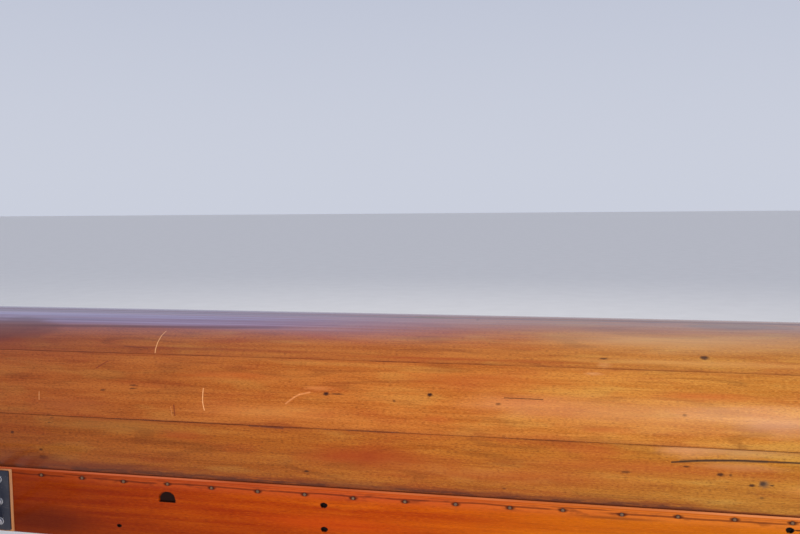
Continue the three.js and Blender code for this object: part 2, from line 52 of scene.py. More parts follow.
def deselectAll():
    if bpy.context.object and bpy.context.object.mode != "OBJECT":
        endEdit()
    bpy.ops.object.select_all(action="DESELECT")


def only(piece):
    deselectAll()
    piece.select_set(True)
    bpy.context.view_layer.objects.active = piece


def settle(piece):  # the object goes back to the origin and its place goes into the mesh
    only(piece)
    bpy.ops.object.transform_apply()
    return piece


def modify(piece, kind, **settings):
    only(piece)
    modifier = piece.modifiers.new(kind.title(), kind)
    for key, value in settings.items():
        setattr(modifier, key, value)
    bpy.ops.object.modifier_apply(modifier=modifier.name)
    return piece


def soften(piece, width, segments=2, angle=40):
    if width:
        modify(piece, "BEVEL", width=width, segments=segments, limit_method="ANGLE", angle_limit=math.radians(angle))
    return piece


def joined(pieces):
    only(pieces[0])
    for piece in pieces:
        piece.select_set(True)
    if len(pieces) > 1:
        bpy.ops.object.join()
    return pieces[0]


def copyOf(piece, matrix):  # a copy with its own mesh
    twin = piece.copy()
    twin.data = piece.data.copy()
    bpy.context.collection.objects.link(twin)
    twin.data.transform(matrix)
    return twin


def discard(*pieces):
    for piece in pieces:
        bpy.data.objects.remove(piece, do_unlink=True)


def editAll(piece):
    only(piece)
    bpy.ops.object.mode_set(mode="EDIT")
    bpy.ops.mesh.select_mode(type="VERT")
    bpy.ops.mesh.select_all(action="SELECT")


def pickFaces(piece, test):  # edit mode, with only the faces that pass the test selected
    editAll(piece)
    bpy.ops.mesh.select_all(action="DESELECT")
    bpy.ops.mesh.select_mode(type="FACE")
    shape = bmesh.from_edit_mesh(piece.data)
    for face in shape.faces:
        face.select = test(face)
    shape.select_flush_mode()
    bmesh.update_edit_mesh(piece.data)


def facesOut():  # ends an edit with every face turned outwards
    bpy.ops.mesh.select_all(action="SELECT")
    bpy.ops.mesh.normals_make_consistent(inside=False)
    endEdit()


def seat(piece, name, slotName, material, smooth, *nodes, body="shell"):
    settle(piece)
    piece.name = piece.data.name = name
    piece.data.materials.clear()
    piece.data.materials.append(material)
    bpy.ops.object.shade_smooth_by_angle(angle=math.radians(smooth))
    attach(piece, body)
    if nodes:
        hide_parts(*nodes)


# Shapes

def spread(start, end, count):
    return [start + (end - start) * i / count for i in range(count + 1)]


def block(low, high, width=0.001, segments=2):
    deselectAll()
    low, high = Vector(low), Vector(high)
    bpy.ops.mesh.primitive_cube_add(size=1, location=(low + high) / 2)
    bpy.context.object.scale = [abs(a) for a in high - low]
    return soften(settle(bpy.context.object), width, segments)


def rod(start, end, radius, sides=20, width=0.0, endRadius=0.0):
    deselectAll()
    start, end = Vector(start), Vector(end)
    run = end - start
    bpy.ops.mesh.primitive_cone_add(
        vertices=sides, radius1=radius, radius2=endRadius or radius, depth=run.length,
        location=(start + end) / 2, rotation=run.to_track_quat("Z", "Y").to_euler())
    return soften(settle(bpy.context.object), width, 2, 60)


def gridSheet(columns, rows, place, flat=None, uvName="planks"):
    deselectAll()
    bpy.ops.mesh.primitive_grid_add(x_subdivisions=columns, y_subdivisions=rows, size=2)
    sheet = bpy.context.object
    spots = [((v.co.x + 1) / 2, (v.co.y + 1) / 2) for v in sheet.data.vertices]
    layer = sheet.data.uv_layers[0]
    layer.name = uvName
    if flat:
        for loop in sheet.data.loops:
            layer.data[loop.index].uv = flat(*spots[loop.vertex_index])
    for vertex, spot in zip(sheet.data.vertices, spots):
        vertex.co = place(*spot)
    return sheet


def lofted(rings):  # a closed skin through rings of the same count
    count, last = len(rings[0]), len(rings) - 1
    shell = gridSheet(last, count, lambda u, v: rings[round(u * last)][round(v * count) % count])
    editAll(shell)
    bpy.ops.mesh.remove_doubles(threshold=1e-6)
    bpy.ops.mesh.fill_holes(sides=0)
    facesOut()
    return shell


def swept(xs, line, side=1):  # a closed bar along the boat, through the outline that line gives for each place
    return lofted([[Vector((x, side * y, z)) for y, z in line(x)] for x in xs])


def carve(piece, cutters):
    for cutter in cutters:
        modify(piece, "BOOLEAN", operation="DIFFERENCE", object=cutter, solver="EXACT")
        discard(cutter)
    return piece


def storeGrain(piece, rule):  # each point's place along and across its own member, as the wood materials read it
    shift = Vector([dice.uniform(0, 9) for _ in range(3)])
    store = piece.data.attributes.new("grain", "FLOAT_VECTOR", "POINT")
    for vertex, value in zip(piece.data.vertices, store.data):
        value.vector = Vector(rule(vertex.co)) + shift
    return piece


def alongGrain(piece, axis=(1, 0, 0), origin=(0, 0, 0)):
    axis, origin = Vector(axis).normalized(), Vector(origin)
    side = axis.orthogonal().normalized()
    ways = axis, side, axis.cross(side)
    return storeGrain(piece, lambda co: [(co - origin).dot(way) for way in ways])


def facing(run, up=upward):  # turns local X along a run, with local Z nearest to up
    x = Vector(run).normalized()
    y = Vector(up).cross(x).normalized()
    return Matrix((x, y, x.cross(y))).transposed().to_4x4()


def cutOff(piece, at, normal):  # takes away what lies on the normal's side
    editAll(piece)
    bpy.ops.mesh.bisect(plane_co=at, plane_no=normal, use_fill=True, clear_outer=True)
    endEdit()


def stick(start, end, wide, high, up=upward, cuts=(), width=0.0018, extra=0.0):  # a squared timber
    start, run = Vector(start), Vector(end) - Vector(start)
    piece = block((-extra, -wide / 2, -high / 2), (run.length + extra, wide / 2, high / 2), 0)
    piece.data.transform(Matrix.Translation(start) @ facing(run, up))
    for at, normal in cuts:
        cutOff(piece, at, normal)
    return alongGrain(soften(piece, width), run, start)


def rounded(corners, radius, steps=4):  # an outline with its corners rounded
    points = []
    for i in range(len(corners)):
        here, before, after = (Vector(corners[j % len(corners)]) for j in (i, i - 1, i + 1))
        reach = min(radius, (before - here).length * 0.48, (after - here).length * 0.48)
        a, b = (before - here).normalized() * reach, (after - here).normalized() * reach
        points += [tuple(here + a * (1 - t) ** 2 + b * t ** 2) for t in spread(0, 1, steps)]
    return points


def card(a0, b0, a1, b1, radius, steps=4):  # the outline of a rounded rectangle
    return rounded([(a0, b0), (a1, b0), (a1, b1), (a0, b1)], radius, steps)


def plate(outline, low, high, axis="Y", width=0.001, segments=2):  # an outline drawn out along an axis
    deselectAll()
    bpy.ops.mesh.primitive_circle_add(vertices=len(outline), fill_type="NGON")
    piece = bpy.context.object
    i = "XYZ".index(axis)
    for vertex, spot in zip(piece.data.vertices, outline):
        vertex.co = (*spot[:i], low, *spot[i:])
    editAll(piece)
    step = [(high - low) * (axis == name) for name in "XYZ"]
    bpy.ops.mesh.extrude_region_move(TRANSFORM_OT_translate={"value": step})
    facesOut()
    return soften(piece, width, segments)


def tube(start, end, radius, stops, sides):  # stops: distance (from the end if negative), width and height in radii
    start, end = Vector(start), Vector(end)
    whole = (end - start).length
    turn = Matrix.Translation(start) @ facing(end - start)
    rings = []
    for along, wide, high in stops:
        along = min(along, whole) if along >= 0 else whole + along
        rings.append([turn @ Vector((along, wide * radius * math.cos(a), high * radius * math.sin(a)))
                      for a in (math.tau * i / sides for i in range(sides))])
    return lofted(rings)


def placed(part, spots):  # a copy at each place, its Z toward a direction, turned a little about it
    copies = []
    for place, toward in spots:
        turn = Vector(toward).to_track_quat("Z", "Y").to_matrix().to_4x4() @ Matrix.Rotation(dice.uniform(0, 6), 4, "Z")
        copies.append(copyOf(part, Matrix.Translation(place) @ turn))
    return copies


def domeBolt(radius, height):  # domed head on a washer, its foot at the origin
    head = rod((0, 0, 0.0008), (0, 0, height), radius, 18)
    soften(head, (height - 0.0008) * 0.85, 4, 60)
    return joined([head, rod((0, 0, -0.0004), (0, 0, 0.001), radius * 1.45, 20, 0.0003)])


def hexNut(radius, height, stud):
    nut = rod((0, 0, 0.0012), (0, 0, height), radius, 6, radius * 0.08)
    washer = rod((0, 0, -0.0004), (0, 0, 0.0014), radius * 1.3, 20, 0.0003)
    return joined([nut, washer, rod((0, 0, 0), (0, 0, height + stud), radius * 0.52, 14, radius * 0.08)])


# Materials: small tools. A tint is a screen colour of three values from 0 to 255.

bench = {}  # the node tree, shader and material in work


def fill(node, sockets):
    for key, value in sockets.items():
        socket = node.inputs[key.replace("_", " ") if isinstance(key, str) else key]
        if isinstance(value, bpy.types.NodeSocket):
            bench["tree"].links.new(value, socket)
        else:
            socket.default_value = value


def put(kind, sockets=None, **settings):
    node = bench["tree"].nodes.new("ShaderNode" + kind)
    for key, value in settings.items():
        setattr(node, key, value)
    fill(node, sockets or {})
    return node.outputs


def maths(operation, a, b=0.0, c=0.0, clamp=False):
    return put("Math", {0: a, 1: b, 2: c}, operation=operation, use_clamp=clamp)[0]


def times(a, *others):
    for b in others:
        a = maths("MULTIPLY", a, b)
    return a


def plus(a, b):
    return maths("ADD", a, b)


def minus(a, b):
    return maths("SUBTRACT", a, b)


def apart(a, b):
    return maths("ABSOLUTE", minus(a, b))


def scaled(a, b, c):  # a times b, plus c
    return maths("MULTIPLY_ADD", a, b, c)


def vectorMaths(operation, a, b=(0, 0, 0), result=0):
    return put("VectorMath", {0: a, 1: b}, operation=operation)[result]


def split(vector):
    return put("SeparateXYZ", {0: vector})


def shown(colour):  # a tint as the four values that Blender mixes; sockets and colours of four values stay
    if not isinstance(colour, tuple) or len(colour) != 3:
        return colour
    shares = [value / 255 for value in colour]
    return [c / 12.92 if c <= 0.04045 else ((c + 0.055) / 1.055) ** 2.4 for c in shares] + [1]


def shade(colour, share, lift=0.0):
    return [c * share + lift for c in shown(colour)[:3]] + [1]


def mixed(factor, a, b, blend="MIX"):
    return put("Mix", {0: factor, 6: shown(a), 7: shown(b)}, data_type="RGBA", blend_type=blend)[2]


def layered(tone, *layers):  # each layer is a mask and a colour
    for mask, colour in layers:
        tone = mixed(mask, tone, colour)
    return tone


def between(value, low, high, outLow=0.0, outHigh=1.0):
    return put("MapRange", {0: value, 1: low, 2: high, 3: outLow, 4: outHigh}, interpolation_type="SMOOTHSTEP")[0]


def cloud(place, scale, detail=3.0, roughness=0.55, seed=0.0):
    if isinstance(scale, tuple):
        place, scale = vectorMaths("MULTIPLY", place, scale), 1.0
    return put("TexNoise", {"Vector": place, "W": seed, "Scale": scale, "Detail": detail, "Roughness": roughness},
               noise_dimensions="4D")[0]


def newGroup(name, inputs, build):  # build turns the inputs into the masks that the group gives out
    tree = bench["tree"] = bpy.data.node_groups.new(name, "ShaderNodeTree")
    for label, value in inputs.items():
        kind = "NodeSocketVector" if isinstance(value, tuple) else "NodeSocketFloat"
        tree.interface.new_socket(name=label, in_out="INPUT", socket_type=kind).default_value = value
    masks = build(tree.nodes.new("NodeGroupInput").outputs)
    for label in masks:
        tree.interface.new_socket(name=label, in_out="OUTPUT", socket_type="NodeSocketFloat")
    fill(tree.nodes.new("NodeGroupOutput"), masks)
    return tree


def use(group, **sockets):
    return put("Group", sockets, node_tree=group)


def newMaterial(name, **fixed):
    material = bpy.data.materials.new(name)
    material.use_nodes = True
    tree = material.node_tree
    bench.update(tree=tree, shader=tree.nodes["Principled BSDF"], material=material)
    fill(bench["shader"], fixed)


def painted(tone, height, strength, distance, **more):  # ends a material: its colour, its bump and more
    normal = put("Bump", {"Height": height, "Strength": strength, "Distance": distance})[0]
    fill(bench["shader"], {"Base Color": tone, "Normal": normal, **more})
    return bench["material"]


def objectPlace():
    return put("TexCoord")["Object"]


# Shared effects

def grainMasks(given):
    x, y, z = split(given["Vector"])

    def layer(alongShare, acrossShare, detail, roughness):
        across = times(given["Across"], acrossShare)
        place = {0: times(x, times(given["Along"], alongShare)), 1: times(y, across), 2: times(z, across)}
        return cloud(put("CombineXYZ", place)[0], 1.0, detail, roughness, given["Seed"])

    broad = layer(0.25, 0.18, 4.0, 0.6)
    turns = scaled(layer(0.12, 0.03, 2.0, 0.5), 55.0, times(broad, 3.0))
    return {"Broad": broad, "Fine": layer(1.0, 1.0, 3.0, 0.65), "Rings": scaled(maths("SINE", turns), 0.5, 0.5),
            "Patch": layer(0.45, 0.035, 2.0, 0.5)}


def spotMask(given):  # a soft-edged ellipse with an uneven rim
    away = vectorMaths("DIVIDE", vectorMaths("SUBTRACT", given["Vector"], given["Centre"]), given["Size"])
    reach = scaled(minus(cloud(away, 1.7, 2.0), 0.5), given["Uneven"], vectorMaths("LENGTH", away, result=1))
    return {"Mask": between(reach, minus(1.0, given["Softness"]), 1.0, 1.0, 0.0)}


def strokeMask(given):  # a thin line between two points, broken here and there
    place, width, broken = given["Vector"], given["Width"], given["Broken"]
    fromStart = vectorMaths("SUBTRACT", place, given["Start"])
    whole = vectorMaths("SUBTRACT", given["End"], given["Start"])
    share = maths("DIVIDE", vectorMaths("DOT_PRODUCT", fromStart, whole, 1),
                  vectorMaths("DOT_PRODUCT", whole, whole, 1), clamp=True)
    foot = put("VectorMath", {0: whole, 3: share}, operation="SCALE")[0]
    off = vectorMaths("LENGTH", vectorMaths("SUBTRACT", fromStart, foot), result=1)
    kept = between(cloud(place, 120.0, 2.0), times(broken, 0.7), scaled(broken, 0.7, 0.15))
    return {"Mask": times(between(off, times(width, 0.3), width, 1.0, 0.0), kept)}


def wearMasks(given):  # scuffs, dust and small chips over a whole surface
    place, scale, amount = given["Vector"], given["Scale"], given["Amount"]
    dust = cloud(place, times(scale, 9.0), 5.0, 0.6, 2.0)
    scuff = cloud(vectorMaths("MULTIPLY", place, (35.0, 210.0, 210.0)), scale, 2.0, 0.5, 5.0)
    chip = cloud(place, times(scale, 90.0), 3.0, 0.6, 8.0)
    edge = minus(0.78, times(amount, 0.25))
    return {"Dust": times(between(dust, 0.42, 0.75), amount), "Scuffs": times(between(scuff, 0.62, 0.72), amount),
            "Chips": between(chip, edge, plus(edge, 0.03))}


origin = (0, 0, 0)
woodGrain = newGroup("woodGrain", {"Vector": origin, "Along": 5.0, "Across": 220.0, "Seed": 0.0}, grainMasks)
spot = newGroup("spot", {"Vector": origin, "Centre": origin, "Size": (0.01, 0.01, 1), "Softness": 0.4, "Uneven": 0.35},
                spotMask)
stroke = newGroup("stroke", {"Vector": origin, "Start": origin, "End": (1, 0, 0), "Width": 0.001, "Broken": 0.5},
                  strokeMask)
wear = newGroup("wear", {"Vector": origin, "Scale": 1.0, "Amount": 0.3}, wearMasks)


def marked(tone, place, x, y, halfLong, halfHigh, tint, strength, softness, uneven=0.5):  # place and size in mm
    mask = use(spot, Vector=place, Centre=(x / 1000, y / 1000, 0), Size=(halfLong / 1000, halfHigh / 1000, 1),
               Softness=softness, Uneven=uneven)["Mask"]
    return mixed(times(mask, strength), tone, tint)


# Camera, floor and light

cameraValues = {"place": (0.885, -1.4287, 1.3701), "turn": 11.528, "dip": 4.410, "roll": -0.517, "lens": 35.01}
stageValues = {"floor": (0.74, 0.735, 0.72, 1), "floorSize": 320.0, "skyLow": (0.74, 0.78, 0.90, 1),
               "skyHigh": (0.50, 0.56, 0.74, 1), "skyStrength": 0.80}
lampValues = [
    {"place": (3.3, -3.4, 3.5), "aim": (1.7, 0.0, 1.0), "size": (2.0, 1.6), "power": 150, "colour": (1, 0.88, 0.70)},
    {"place": (-8.0, -5.5, 6.0), "aim": (-3.4, 0.0, 0.9), "size": (5.0, 3.0), "power": 150, "colour": (1, 0.92, 0.80)},
    {"place": (0.0, 8.5, 7.0), "aim": (0.0, 0.5, 0.8), "size": (10.0, 3.0), "power": 200, "colour": (1, 0.95, 0.88)},
]
sunValues = {"turn": (44, 0, 32), "angle": 26, "strength": 0.85, "colour": (1.0, 0.88, 0.70)}


def addCamera():
    bpy.ops.object.camera_add()
    view = bpy.context.scene.camera = bpy.context.object
    view.name = "photoCamera"
    spin = Matrix.Identity(4)
    for angle, axis in ((cameraValues["turn"], "Z"), (90 - cameraValues["dip"], "X"), (cameraValues["roll"], "Z")):
        spin = spin @ Matrix.Rotation(math.radians(angle), 4, axis)
    view.matrix_world = Matrix.Translation(cameraValues["place"]) @ spin
    view.data.lens = cameraValues["lens"]
    view.data.sensor_width = 36
    view.data.clip_start, view.data.clip_end = 0.02, 400


def addStage():
    v = stageValues
    deselectAll()
    bpy.ops.mesh.primitive_plane_add(size=v["floorSize"])
    floor = bpy.context.object
    floor.name = "floor"
    newMaterial("paleFloor", Roughness=0.85)
    fleck = between(cloud(objectPlace(), 3.0, 6.0, 0.6), 0.3, 0.7)
    fill(bench["shader"], {"Base Color": mixed(fleck, v["floor"], shade(v["floor"], 0.96))})
    floor.data.materials.append(bench["material"])
    world = bpy.context.scene.world = bpy.data.worlds.new("studio")
    world.use_nodes = True
    bench["tree"] = world.node_tree
    height = split(put("TexCoord")["Generated"])[2]
    sky = mixed(between(height, 0.02, 0.62), v["skyLow"], v["skyHigh"])
    fill(world.node_tree.nodes["Background"], {"Color": sky, "Strength": v["skyStrength"]})


def addLamps():
    for i, lamp in enumerate(lampValues):
        bpy.ops.object.light_add(type="AREA", location=lamp["place"])
        light = bpy.context.object
        light.name = f"softbox{i + 1}"
        aim = Vector(lamp["aim"]) - Vector(lamp["place"])
        light.rotation_euler = aim.to_track_quat("-Z", "Y").to_euler()
        light.data.shape = "RECTANGLE"
        light.data.size, light.data.size_y = lamp["size"]
        light.data.energy, light.data.color = lamp["power"], lamp["colour"]
        light.visible_glossy = False
    bpy.ops.object.light_add(type="SUN", rotation=[math.radians(a) for a in sunValues["turn"]])
    sun = bpy.context.object
    sun.name = "softSun"
    sun.data.energy, sun.data.color = sunValues["strength"], sunValues["colour"]
    sun.data.angle = math.radians(sunValues["angle"])
    bpy.context.scene.view_settings.view_transform = "Standard"


addCamera()
addStage()
addLamps()
print("camera, floor and light are set")


# Hull form

hull = {"stern": -6.37, "bow": 6.44, "halfBeam": 0.262, "endHalfBeam": 0.016, "keel": 1.165, "edge": 0.92,
        "rocker": 0.12, "fairness": 2.6, "fullness": 2.15, "endSharpness": 0.5, "bilgeDepth": 0.8,
        "tumbleHome": 0.03, "skin": 0.006, "girth": 0.416, "gap": 0.0008}
sectionsMade = {}
edge, skin = hull["edge"], hull["skin"]


def lengthsOf(points):  # the way from the first point to each
    lengths = [0.0]
    for a, b in zip(points, points[1:]):
        lengths.append(lengths[-1] + math.hypot(b[0] - a[0], b[1] - a[1]))
    return lengths


def spanAt(points, lengths, share):  # the two points round a share of the way, their distance and the place between
    i, target = 1, share * lengths[-1]
    while i < len(points) - 1 and lengths[i] < target:
        i += 1
    run = lengths[i] - lengths[i - 1]
    return points[i - 1], points[i], run, (target - lengths[i - 1]) / run


def hullSection(x):  # points of the half section from keel to edge, with the girth up to each
    key = round(x, 4)
    if key not in sectionsMade:
        u = x / (hull["bow"] if x > 0 else hull["stern"])
        fall = min(1.0, u) ** hull["fairness"]
        beam = hull["endHalfBeam"] + (hull["halfBeam"] - hull["endHalfBeam"]) * (1 - fall) ** 0.9
        depth = hull["keel"] - edge - hull["rocker"] * fall
        power = hull["fullness"] - hull["endSharpness"] * u * u
        wide = depth * hull["bilgeDepth"]
        points = []
        for step in range(73):
            angle = step / 72 * math.pi / 2
            across = beam * math.sin(angle) ** (2 / power)
            points.append((across, edge + depth - wide * (1 - max(0, math.cos(angle)) ** (2 / power))))
        for step in range(1, 9):
            t = step / 8
            points.append((beam * (1 - hull["tumbleHome"] * t * t), edge + (depth - wide) * (1 - t)))
        sectionsMade[key] = points, lengthsOf(points)
    return sectionsMade[key]


def hullPoint(x, share, side=1, inset=0.0):
    (y0, z0), (y1, z1), run, t = spanAt(*hullSection(x), share)
    y = y0 + (y1 - y0) * t + (z1 - z0) / run * inset
    z = z0 + (z1 - z0) * t - (y1 - y0) / run * inset
    return Vector((x, side * max(y, 0), z))


def edgeY(x):
    return hullSection(x)[0][-1][0]


def widthAt(x, z, inset=0.0):  # half width at a height, inset from the outside
    points, _ = hullSection(x)
    for a, b in zip(points, points[1:]):
        if b[1] <= z:
            return a[0] + (b[0] - a[0]) * (a[1] - z) / max(1e-9, a[1] - b[1]) - inset
    return points[-1][0] - inset


# Planking. Marks lie on the port side, at a distance along the boat and a girth from the keel, in mm.

planking = {
    "seam": 0.0002, "bevel": 0.0003, "columns": 170,
    "strakes": {"garboard": (0.0, 0.4655, 18), "bilge": (0.4655, 0.7643, 14), "side": (0.7643, 1.0, 12)},
    "tones": {  # deep, middle and light wood
        "garboard": ((138, 64, 12), (172, 94, 28), (202, 130, 54)),
        "bilge": ((146, 70, 12), (181, 100, 30), (208, 136, 60)),
        "side": ((136, 66, 10), (168, 90, 20), (196, 124, 42)),
    },
    "redWood": (158, 58, 14), "tanWood": (190, 134, 58), "knot": (44, 16, 10), "seamLine": (80, 32, 14),
    "seamHalo": (140, 62, 26), "stain": (122, 48, 20), "grime": (76, 38, 26),
    "film": {  # milky bloom on the upturned keel, partly painted reflection of the sky, with a painted bluish sheen and a painted darker reflection at the ridge: how far down it is full and where it ends, toward stern and bow
        "milk": (116, 98, 132), "streak": (140, 124, 154), "ridge": (84, 78, 98), "rim": (78, 36, 44),
        "sheen": (132, 130, 176), "dusty": (134, 108, 102), "full": (0.090, 0.034), "end": (0.117, 0.152, 0.146),
        "thick": (0.92, 0.60), "middle": 0.35, "sheenAt": 0.052,
    },
    "smears": [  # along, girth, half length, half height, tint, strength
        (655, 12, 45, 10, (104, 88, 62), 0.75), (742, 20, 4, 16, (110, 80, 76), 0.60),
        (-80, 80, 180, 8, (92, 84, 118), 0.45), (-170, 125, 140, 60, (84, 38, 34), 0.58),
        (600, 16, 120, 7, (88, 74, 84), 0.40), (1180, 34, 110, 24, (98, 84, 84), 0.50),
    ],
    "knots": [  # along, girth, half length, half height, darkness
        (516, 261, 7, 4.8, 0.95), (534, 260.5, 15, 1.8, 0.75), (630, 268, 3.6, 2.8, 0.62),
        (686.5, 255.2, 6, 4.6, 0.98), (795, 266, 6.2, 2.6, 0.66), (570, 281, 3, 4, 0.25),
        (116.7, 270.2, 6.6, 2.6, 0.66), (171.2, 259.7, 10.5, 1.8, 0.72), (172.2, 265.5, 8.5, 1.8, 0.72),
        (957, 171, 9.2, 3.2, 0.75), (1110, 161, 9.6, 7.2, 0.86), (-45, 350, 5, 3.6, 0.80), (10, 378, 5.6, 3, 0.70),
        (24, 317, 6, 2.2, 0.50), (30, 322, 5, 2.2, 0.45), (26, 330, 4.4, 2.2, 0.50), (490, 388, 6, 2.6, 0.80),
        (492, 393, 5, 1.6, 0.45), (985, 359, 10, 2.8, 0.62), (1070, 346, 7, 2, 0.75), (1117, 355, 7.2, 3.8, 0.88),
        (1131, 355, 3.2, 2.8, 0.65), (1160, 368.5, 6.2, 3.2, 0.88), (1187, 367, 4, 2, 0.75),
        (1174, 387, 4.6, 3, 0.55), (1174, 365, 6, 5, 0.62), (255, 304, 3, 2, 0.45), (805, 316, 4, 4, 0.22),
        (1070, 271, 4.4, 3, 0.50), (806, 397, 4, 2.4, 0.50), (12, 392, 11, 6, 0.55),
    ],
    "patches": [  # as the smears; the pale patches from 830 to 1200 mm along, at girths 266 to 322, are painted highlight of a broad glare
        (1140, 318, 100, 16, (192, 152, 102), 0.62), (1140, 343, 85, 9, (188, 132, 84), 0.50),
        (1000, 352, 300, 18, (172, 84, 32), 0.45), (590, 360, 170, 26, (152, 56, 10), 0.76),
        (700, 295, 34, 9, (178, 84, 34), 0.40), (760, 228, 190, 20, (178, 84, 32), 0.32),
        (420, 296, 200, 20, (206, 130, 70), 0.26), (1050, 273, 330, 36, (202, 142, 94), 0.38),
        (830, 266, 140, 24, (220, 150, 104), 0.24), (1080, 116, 320, 48, (200, 156, 102), 0.55),
        (957, 186, 16, 10, (214, 158, 98), 0.35), (940, 205, 20, 5, (222, 164, 112), 0.35),
        (-130, 165, 200, 45, (112, 40, 18), 0.56), (500, 252, 34, 6, (214, 138, 78), 0.35),
        (950, 300, 60, 9, (178, 84, 34), 0.40), (330, 235, 120, 12, (180, 78, 24), 0.40),
        (1176, 366, 10.5, 8.5, (76, 66, 58), 0.85), (60, 300, 120, 16, (150, 84, 40), 0.35),
        (140, 402, 120, 10, (78, 44, 36), 0.45), (275, 340, 60, 10, (158, 64, 22), 0.50),
        (1240, 374, 60, 12, (200, 132, 62), 0.40), (150, 330, 200, 20, (158, 112, 50), 0.35),
        (930, 330, 80, 14, (176, 82, 30), 0.40), (1105, 240.5, 115, 11, (172, 70, 24), 0.50),
        (1100, 176, 260, 12, (206, 152, 84), 0.45), (250, 178, 300, 7, (120, 44, 14), 0.55),
        (720, 184, 340, 5, (150, 66, 20), 0.50), (820, 377, 260, 20, (170, 74, 26), 0.42),
        (-10, 398, 110, 18, (88, 44, 32), 0.50), (1070, 322, 60, 16, (216, 156, 110), 0.45),
        (1200, 283, 90, 24, (184, 132, 102), 0.45),
    ],
    "lines": [  # points, half width, tint, strength, how broken
        ([(1062, 338.5), (1110, 334.5), (1180, 332.8)], 3.0, (104, 76, 48), 0.70, 0.20),
        ([(1050, 340.5), (1085, 336.5), (1140, 333), (1228, 332.2)], 1.9, (58, 36, 24), 0.92, 0.10),
        ([(392, 318.6), (450, 319.6)], 1.7, (52, 34, 34), 0.70, 0.35),
        ([(804, 255.3), (863, 255.5)], 1.2, (70, 36, 16), 0.80, 0.20),
        ([(177.8, 125), (176.8, 142), (179.5, 164), (183.7, 182), (187, 191)], 1.2, (228, 166, 110), 0.78, 0.30),
        ([(301, 260), (302, 267), (303.3, 275), (305.2, 284), (307.8, 291), (310.4, 297)], 1.1, (240, 176, 120),
         0.75, 0.25),
        ([(-4, 278), (0, 292)], 0.8, (228, 166, 108), 0.55, 0.25),
        ([(450.5, 280), (463, 269), (471, 263.8), (488, 259.5)], 2.1, (224, 148, 90), 0.52, 0.25),
        ([(254.3, 291), (259, 308)], 1.8, (110, 44, 20), 0.75, 0.10),
        ([(249, 293.5), (254.5, 309.5)], 0.8, (222, 150, 96), 0.35, 0.20),
        ([(90, 228.5), (104.5, 214)], 2.4, (118, 48, 20), 0.75, 0.25),
        ([(120, 176), (168, 180)], 1.0, (70, 30, 16), 0.60, 0.30),
    ],
    "fades": [  # where each stretch begins, is full and ends again, and what it does to the wood: the first darkens toward the stern with painted shade, the second lightens toward the bow with painted light
        (0.75, -0.20, -0.9, -3.2, (0.62, 0.50, 0.50, 1)), (0.60, 1.25, 1.7, 3.6, (1.02, 1.36, 1.50, 1)),
    ],
}


# painted shade toward the stern and painted light toward the bow, over the wood's colour
def shadedAndLit(tone, x):
    for start, full, fullEnd, end, tint in planking["fades"]:
        tone = mixed(times(between(x, start, full), between(x, end, fullEnd)), tone, tint, "MULTIPLY")
    return tone


def ownMarks(tone, place, low, high):  # patches, lines and knots of one strake
    for row in planking["patches"]:
        if low <= row[1] / 1000 < high:
            tone = marked(tone, place, *row, 0.9, 0.8)
    for points, width, tint, strength, broken in planking["lines"]:
        for (x0, v0), (x1, v1) in zip(points, points[1:]):
            if low <= (v0 + v1) / 2000 < high:
                mask = use(stroke, Vector=place, Start=(x0 / 1000, v0 / 1000, 0), End=(x1 / 1000, v1 / 1000, 0),
                           Width=width / 1000, Broken=broken)["Mask"]
                tone = mixed(times(mask, strength), tone, tint)
    for *at, strength in planking["knots"]:
        if low <= at[1] / 1000 < high:
            tone = marked(tone, place, *at, planking["knot"], strength, 0.7, 0.6)
    return tone


def seamDark(tone, place, along, off):  # a broken dark line, by the distance from the seam
    uneven, worn = cloud(place, (14, 160, 1)), cloud(place, (7, 4, 1), 2.0)
    line = times(between(off, 0.0003, scaled(uneven, 0.0030, 0.0002), 1.0, 0.0), between(along, 0.30, 1.00, 1.0, 0.60),
                 between(worn, 0.42, 0.56, 0.35, 1.0), between(uneven, 0.34, 0.62, 0.30, 0.85))
    return layered(tone, (line, planking["seamLine"]), (between(off, 0.001, 0.008, 0.22, 0.0), planking["seamHalo"]))


def edgeBandAndShadow(tone, place, along, off):  # a ragged darker band over the side board, by the distance up from it, and a painted shadow line right along the board
    ragged = cloud(place, (22, 210, 1), 5.0, 0.7, 1.5)
    reach = times(minus(ragged, 0.16), between(along, 0.20, 0.50, 0.058, 0.046), between(along, 1.02, 1.16, 1.0, 0.40))
    stain = between(off, times(reach, 0.4), times(reach, 1.3), 0.55, 0.0)
    darkSmudge = times(between(off, times(reach, 0.45), times(reach, 0.75), 0.80, 0.0),
                 between(ragged, 0.56, 0.44, 0.25, 1.0))
    # the last layer, right along the side board, is painted shadow
    return layered(tone, (stain, planking["stain"]), (darkSmudge, planking["grime"]),
                   (between(off, 0.0008, 0.0040, 0.85, 0.0), planking["seamLine"]))
